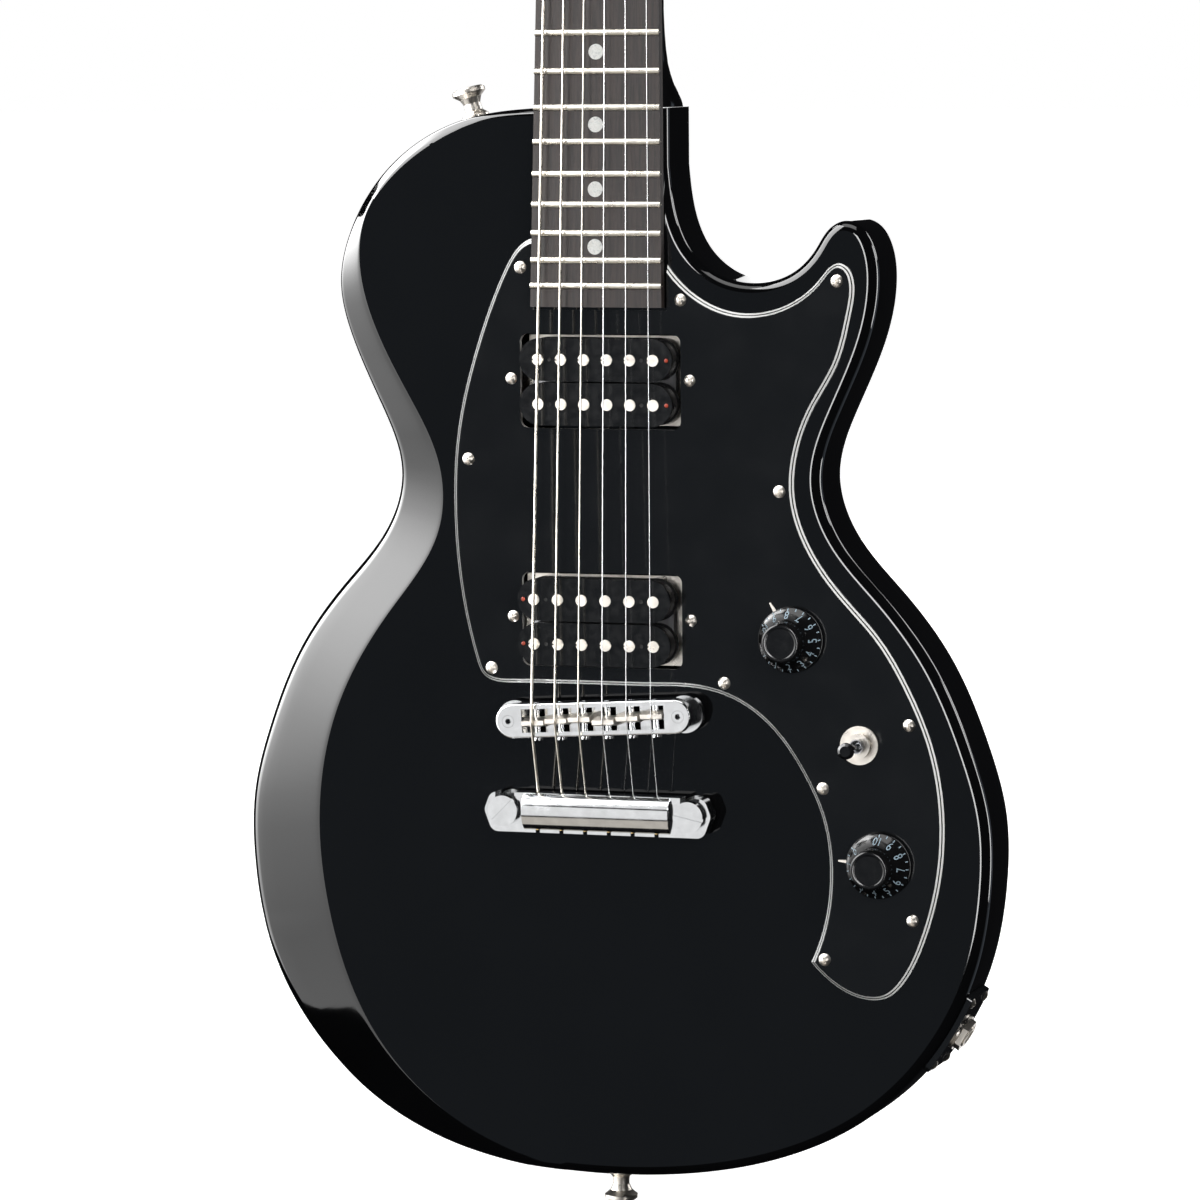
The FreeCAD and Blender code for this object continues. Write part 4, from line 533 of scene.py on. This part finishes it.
def bevel_at(points):
    """Crest point and depth of the arm bevel beside each outline point; (None, 0) where it has ended."""
    crest = cubic_through([inner for inner, _, _ in BEVEL_STATIONS], BEVEL_STEPS)
    rim = cubic_through([outer for _, outer, _ in BEVEL_STATIONS], BEVEL_STEPS)
    depths = cubic_through([(depth, 0) for _, _, depth in BEVEL_STATIONS], BEVEL_STEPS)[:, 0]
    steps = np.diff(rim, axis=0)
    count = np.arange(len(rim))
    found = []
    for point in points:
        along = np.clip(np.sum((point - rim[:-1]) * steps, axis=1) / np.sum(steps ** 2, axis=1), 0, 1)
        gaps = np.linalg.norm(rim[:-1] + steps * along[:, None] - point, axis=1)
        nearest = int(np.argmin(gaps))
        where = nearest + along[nearest]
        ended = point[0] > BEVEL_STATIONS[-1][1][0] or where >= len(steps)
        place = np.array([np.interp(where, count, crest[:, axis]) for axis in (0, 1)])
        found.append((None, 0.0) if ended else (place, float(np.interp(where, count, depths))))
    return found


def quarter_drop(radius, inset):
    """Depth of a quarter round of this radius, inset from the edge it rounds."""
    return radius - math.sqrt(radius ** 2 - max(radius - inset, 0) ** 2)


def front_drop(inset, width, depth):
    """How far the body's front lies under its plane: the edge round, or the bevel where that is deeper."""
    rounded = quarter_drop(max(EDGE_ROUND - depth, THINNEST_EDGE), inset)
    if depth <= 0:
        return rounded
    lip = float(np.interp(depth, *BEVEL_LIP))
    slope = depth * (1 - inset / width) + quarter_drop(lip, inset) * min(depth / EDGE_ROUND, 1)
    blend = math.sqrt((rounded - slope) ** 2 + CREST_SOFTNESS ** 2) - CREST_SOFTNESS
    return max((rounded + slope + blend) / 2, 0)


def body_column(point, normal, crest, depth):
    """Points from the front plane over the edge and down the wall to the back plane."""
    quarter = [EDGE_ROUND * (1 - math.cos(math.radians(angle))) for angle in EDGE_ANGLES]
    across = (crest - point) if depth else normal * EDGE_ROUND
    width = float(np.linalg.norm(across))
    direction = across / width if width > EDGE_ROUND else normal
    last = max(width, EDGE_ROUND + 0.6)
    flat = [EDGE_ROUND + (last - EDGE_ROUND) * share for share in FLAT_SHARES]
    front, back = [], []
    for inset in quarter + flat:
        x, z = point + direction * inset
        front.append((x, BODY_FRONT + front_drop(inset, width, depth), z))
    for inset in quarter:
        x, z = point + normal * inset
        back.append((x, -quarter_drop(EDGE_ROUND, inset), z))
    return front[::-1] + back, len(front)


def body_blank():
    """Closed shell of the body: edge rounds, arm bevel, and the square end under the neck."""
    outline = body_outline()
    tangents = np.gradient(outline, axis=0)
    inward = np.stack([-tangents[:, 1], tangents[:, 0]], axis=1)
    inward /= np.linalg.norm(inward, axis=1)[:, None]
    columns = [body_column(point, normal, crest, depth)
               for point, normal, (crest, depth) in zip(outline, inward, bevel_at(outline))]
    front_rows = columns[0][1]
    columns = [points for points, _ in columns]
    rise = JOINT_CORNER[1] - outline[-1][1]
    columns.append([(x, y, z + rise) for x, y, z in columns[-1]])
    size, last = len(columns[0]), len(columns) - 1
    points = [tuple(c * MM for c in point) for column in columns for point in column]
    faces = [(a * size + row, a * size + row + 1, (a + 1) * size + row + 1, (a + 1) * size + row)
             for a in range(last) for row in range(size - 1)]
    corner_x, corner_z = outline[0]
    front_corner, back_corner = len(points), len(points) + 1
    points += [(corner_x * MM, BODY_FRONT * MM, corner_z * MM), (corner_x * MM, 0.0, corner_z * MM)]
    faces.append([column * size for column in range(last + 1)] + [front_corner])
    faces.append([column * size + size - 1 for column in range(last + 1)] + [back_corner])
    faces.append(list(range(front_rows)) + [front_corner])
    faces.append(list(range(front_rows, size)) + [back_corner])
    faces.append([last * size + row for row in range(size)]
                 + [back_corner, front_rows, front_rows - 1, front_corner])
    mesh = bpy.data.meshes.new("body_shell")
    mesh.from_pydata(points, [], faces)
    return finish_mesh(link(bpy.data.objects.new("body_shell", mesh)))


def rounded_outline(half_x, half_z, corner, x=0.0, z=0.0):
    """Rectangle with round corners, as points (x, z)."""
    points = []
    for turn, (side_x, side_z) in enumerate([(1, 1), (-1, 1), (-1, -1), (1, -1)]):
        for step in range(7):
            angle = math.radians(turn * 90 + step * 15)
            points.append((x + side_x * (half_x - corner) + corner * math.cos(angle),
                           z + side_z * (half_z - corner) + corner * math.sin(angle)))
    return points


def channel_outline(start, end, half):
    """Straight channel between two places, 2 half wide."""
    run = Vector(end) - Vector(start)
    side = Vector((-run.y, run.x)).normalized() * half
    corners = ((start, 1), (start, -1), (end, -1), (end, 1))
    return [tuple(Vector(place) + side * sign) for place, sign in corners]


def body_shell():
    """The body with its pickup, neck and control routs, in place of the CAD one."""
    half_x, half_z, pickup_depth = PICKUP_ROUT
    routs = [(rounded_outline(half_x, half_z, ROUT_CORNER, 0, z), pickup_depth) for z in PICKUP_ZS]
    tenon_half, tenon_low, tenon_depth = TENON_ROUT
    over = JOINT_CORNER[1] + 5
    tenon = [(-tenon_half, tenon_low), (tenon_half, tenon_low), (tenon_half, over), (-tenon_half, over)]
    routs.append((tenon, tenon_depth))
    for x, z, radius in CONTROL_ROUTS:
        routs.append((rounded_outline(radius, radius, radius, x, z), CONTROL_DEPTH))
    for (x0, z0, _), (x1, z1, _) in zip(CONTROL_ROUTS, CONTROL_ROUTS[1:]):
        routs.append((channel_outline((x0, z0), (x1, z1), CHANNEL_HALF), CONTROL_DEPTH))
    shell = body_blank()
    cut_away(shell, [finish_mesh(prism("rout", outline, BODY_FRONT - 1, BODY_FRONT + depth))
                     for outline, depth in routs])
    finish_mesh(shell, 28)
    dress(shell, "body_finish")
    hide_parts("body")


# ---- knobs and pickups ------------------------------------------------------------------------

def skirt_height(radius):
    """Height of the knob's surface over its base, radius out from its axis."""
    radii, heights = zip(*sorted(point for point in KNOB_PROFILE if point[1] >= KNOB_PROFILE[2][1]))
    return float(np.interp(radius, radii, heights))


def digit_mesh(number):
    """Corners in millimetres and faces of a printed number, centred."""
    text = bpy.data.curves.new("digit", "FONT")
    text.body = str(number)
    text.size = DIGIT_SIZE
    text.align_x, text.align_y = "CENTER", "CENTER"
    holder = link(bpy.data.objects.new("digit", text))
    bpy.context.view_layer.update()
    flat = holder.evaluated_get(bpy.context.evaluated_depsgraph_get()).to_mesh()
    corners = [(v.co.x, v.co.y) for v in flat.vertices]
    faces = [list(face.vertices) for face in flat.polygons]
    bpy.data.objects.remove(holder)
    bpy.data.curves.remove(text)
    return corners, faces


def make_dial(name, centre, pointer_angle, pointer_number):
    """Numbers, their tops towards the axis, and ticks printed on the knob's skirt."""
    points, faces = [], []

    def print_flat(corners, shape, angle, radius):
        out = Vector((math.cos(angle), math.sin(angle)))
        right = Vector((-out.y, out.x))
        start = len(points)
        for across, up in corners:
            flat = out * (radius - up) + right * across
            depth = KNOB_BASE - skirt_height(flat.length) - PRINT_LIFT
            points.append(((centre[0] + flat.x) * MM, depth * MM, (centre[1] + flat.y) * MM))
        faces.extend([start + corner for corner in face] for face in shape)

    low, high = TICK_RADII
    middle, half = (low + high) / 2, (high - low) / 2
    tick = [(-TICK_HALF, -half), (TICK_HALF, -half), (TICK_HALF, half), (-TICK_HALF, half)]
    for number in range(11):
        angle = math.radians(pointer_angle + (number - pointer_number) * DIAL_STEP)
        print_flat(*digit_mesh(number), angle, DIGIT_RADIUS)
        print_flat(tick, [(0, 1, 2, 3)], angle, middle)
        if number < 10:
            print_flat(tick, [(0, 1, 2, 3)], angle + math.radians(DIAL_STEP / 2), middle)
    mesh = bpy.data.meshes.new(name + "_dial")
    mesh.from_pydata(points, [], faces)
    dial = link(bpy.data.objects.new(name + "_dial", mesh))
    dress(dial, "knob_plastic", name + "_control", DIAL_PRINT)


def make_knobs():
    """Smooth top-hat knobs with printed dials, in place of the CAD ones."""
    for name, (centre, angle, number) in KNOBS.items():
        knob = lathed(name + "_top_hat", KNOB_PROFILE, centre, KNOB_BASE)
        dress(knob, "knob_plastic", name + "_control")
        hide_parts(name + "_knob")
        make_dial(name, centre, angle, number)


def make_bobbin_details():
    """Red lead ends, and painted shade: near-black matte discs standing just proud of each bobbin face in
    place of the dark moulding hollows between the outer poles.
    """
    for name, (centre, face, side, pitch) in BOBBINS.items():
        for row, z in (("upper", centre + ROW_OFFSET), ("lower", centre - ROW_OFFSET)):
            lead = lathed(f"{name}_{row}_lead", LEAD_PROFILE, (side * LEAD_X, z), face,
                          SMALL_ROUND_SEGMENTS)
            dress(lead, "wire_insulation", material=RED_LEAD)
            for end, x in (("bass", -2 * pitch), ("treble", 2 * pitch)):
                # painted shade: a dark disc, not a hole, put where the moulding hollow would lie in shade
                recess = lathed(f"{name}_{row}_recess_{end}", HOLE_SHADE_PROFILE, (x, z), face,
                                SMALL_ROUND_SEGMENTS)
                dress(recess, "bobbin_plastic", material=PAINTED_HOLE_SHADE)


def make_ridge_skin():
    """Smooth plating over the tailpiece's raised middle."""
    crest = cubic_through(RIDGE_CREST, RIDGE_STEPS)
    slopes = np.gradient(crest, axis=0)
    outward = np.stack([-slopes[:, 1], slopes[:, 0]], axis=1)
    outward *= np.where(outward[:, 1:] > 0, -1, 1) / np.linalg.norm(outward, axis=1)[:, None]
    rings = [[(x, y, z) for z, y in crest + outward * lift] for x, lift in RIDGE_RINGS]
    skin = finish_mesh(from_grid("tail_ridge_skin", rings, closed_around=False, caps=False), 60)
    dress(skin, "chrome")


# ---- stage ------------------------------------------------------------------------------------

def aim(thing, place, target, roll=0.0):
    """Puts a camera or light in its place, looking at the target."""
    direction = Vector(target) - Vector(place)
    turn = direction.to_track_quat("-Z", "Y").to_matrix().to_4x4()
    rolled = turn @ Matrix.Rotation(math.radians(roll), 4, "Z")
    thing.matrix_world = Matrix.Translation(Vector(place) * MM) @ rolled


def make_camera():
    """Camera at the reference view."""
    lens = bpy.data.cameras.new("camera")
    lens.lens = CAMERA_LENS
    lens.sensor_width = 36
    lens.clip_end = 100
    camera = bpy.data.objects.new("camera", lens)
    bpy.context.scene.collection.objects.link(camera)
    aim(camera, CAMERA_AT, CAMERA_TARGET, CAMERA_ROLL)
    bpy.context.scene.camera = camera


def make_lights():
    """Soft boxes; gloss black parts see a dimmer front card than the plated ones."""
    groups = {"gloss": bpy.data.collections.new("gloss"), "plain": bpy.data.collections.new("plain")}
    for piece in list(bpy.context.scene.objects):
        if piece.type == "MESH" and piece.material_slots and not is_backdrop(piece):
            dark = piece.material_slots[0].material.name in GLOSS_SLOTS
            groups["gloss" if dark else "plain"].objects.link(piece)
    for name, (place, width, height, brightness, colour, lights_up) in SOFT_BOXES.items():
        light = bpy.data.lights.new(name, "AREA")
        light.color = colour
        light.shape = "RECTANGLE"
        light.size = width * MM
        light.size_y = height * MM
        light.energy = brightness * math.pi * light.size * light.size_y
        holder = bpy.data.objects.new(name, light)
        bpy.context.scene.collection.objects.link(holder)
        aim(holder, place, LIGHT_TARGET)
        holder.visible_camera = False
        holder.visible_glossy = lights_up != "diffuse"
        if lights_up in groups:
            holder.light_linking.receiver_collection = groups[lights_up]


def make_key_panel():
    """Staged glowing panel, its brightness graded with height, as a big graded soft box."""
    low, high = KEY_LEVELS[0][0], KEY_LEVELS[-1][0]
    rings = [[(x, y, level) for x, y in KEY_ENDS] for level in (low, high)]
    panel = from_grid("key_panel", rings, closed_around=False, caps=False)
    material, tree, shader = surface("key_glow", (0, 0, 0), 1.0)
    brightest = max(value for _, value in KEY_LEVELS)
    place = in_mm(tree)
    height = remap(tree, axis_of(tree, place, "Z"), 0, 1, low, high)
    stops = [((level - low) / (high - low), (value / brightest,) * 3) for level, value in KEY_LEVELS]
    tree.links.new(ramp(tree, height, stops), shader.inputs["Emission Color"])
    gain = remap(tree, axis_of(tree, place, "X"), brightest * KEY_FAR_GAIN, brightest, *KEY_FAR_X)
    tree.links.new(gain, shader.inputs["Emission Strength"])
    panel.data.materials.append(material)
    panel.visible_camera = False
    panel.visible_diffuse = False
    panel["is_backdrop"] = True


def make_world():
    """White to the camera, a dark room to everything else."""
    world = bpy.data.worlds.new("studio")
    bpy.context.scene.world = world
    world.use_nodes = True
    tree = world.node_tree
    seen = tree.nodes["Background"]
    seen.inputs["Color"].default_value = (*BACKGROUND, 1)
    room = add(tree, "ShaderNodeBackground")
    room.inputs["Color"].default_value = (*ROOM, 1)
    path = add(tree, "ShaderNodeLightPath")
    mix = add(tree, "ShaderNodeMixShader")
    tree.links.new(path.outputs["Is Camera Ray"], mix.inputs["Fac"])
    tree.links.new(room.outputs["Background"], mix.inputs[1])
    tree.links.new(seen.outputs["Background"], mix.inputs[2])
    tree.links.new(mix.outputs["Shader"], tree.nodes["World Output"].inputs["Surface"])
    bpy.context.scene.view_settings.view_transform = "Standard"


def make_floor():
    """Pale plain floor under the lowest point of the frame."""
    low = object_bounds()[0].z
    mesh = bpy.data.meshes.new("floor")
    half = FLOOR_HALF_METRES
    mesh.from_pydata([(-half, -half, low), (half, -half, low), (half, half, low), (-half, half, low)], [],
                     [(0, 1, 2, 3)])
    floor = bpy.data.objects.new("floor", mesh)
    bpy.context.scene.collection.objects.link(floor)
    material, tree, shader = surface("floor_paint", (0.86, 0.86, 0.86), 0.9)
    place = in_mm(tree)
    paint = ramp(tree, noise(tree, place, 30), [(0.3, (0.84, 0.84, 0.84)), (0.7, (0.88, 0.88, 0.88))])
    tree.links.new(paint, shader.inputs["Base Color"])
    shader.inputs["Emission Color"].default_value = (1, 1, 1, 1)
    shader.inputs["Emission Strength"].default_value = 1.0
    mesh.materials.append(material)
    floor.visible_glossy = False
    floor.visible_diffuse = False
    floor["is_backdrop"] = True


dress_frame()
body_shell()
make_knobs()
make_bobbin_details()
make_ridge_skin()
make_camera()
make_world()
make_floor()
make_lights()
make_key_panel()
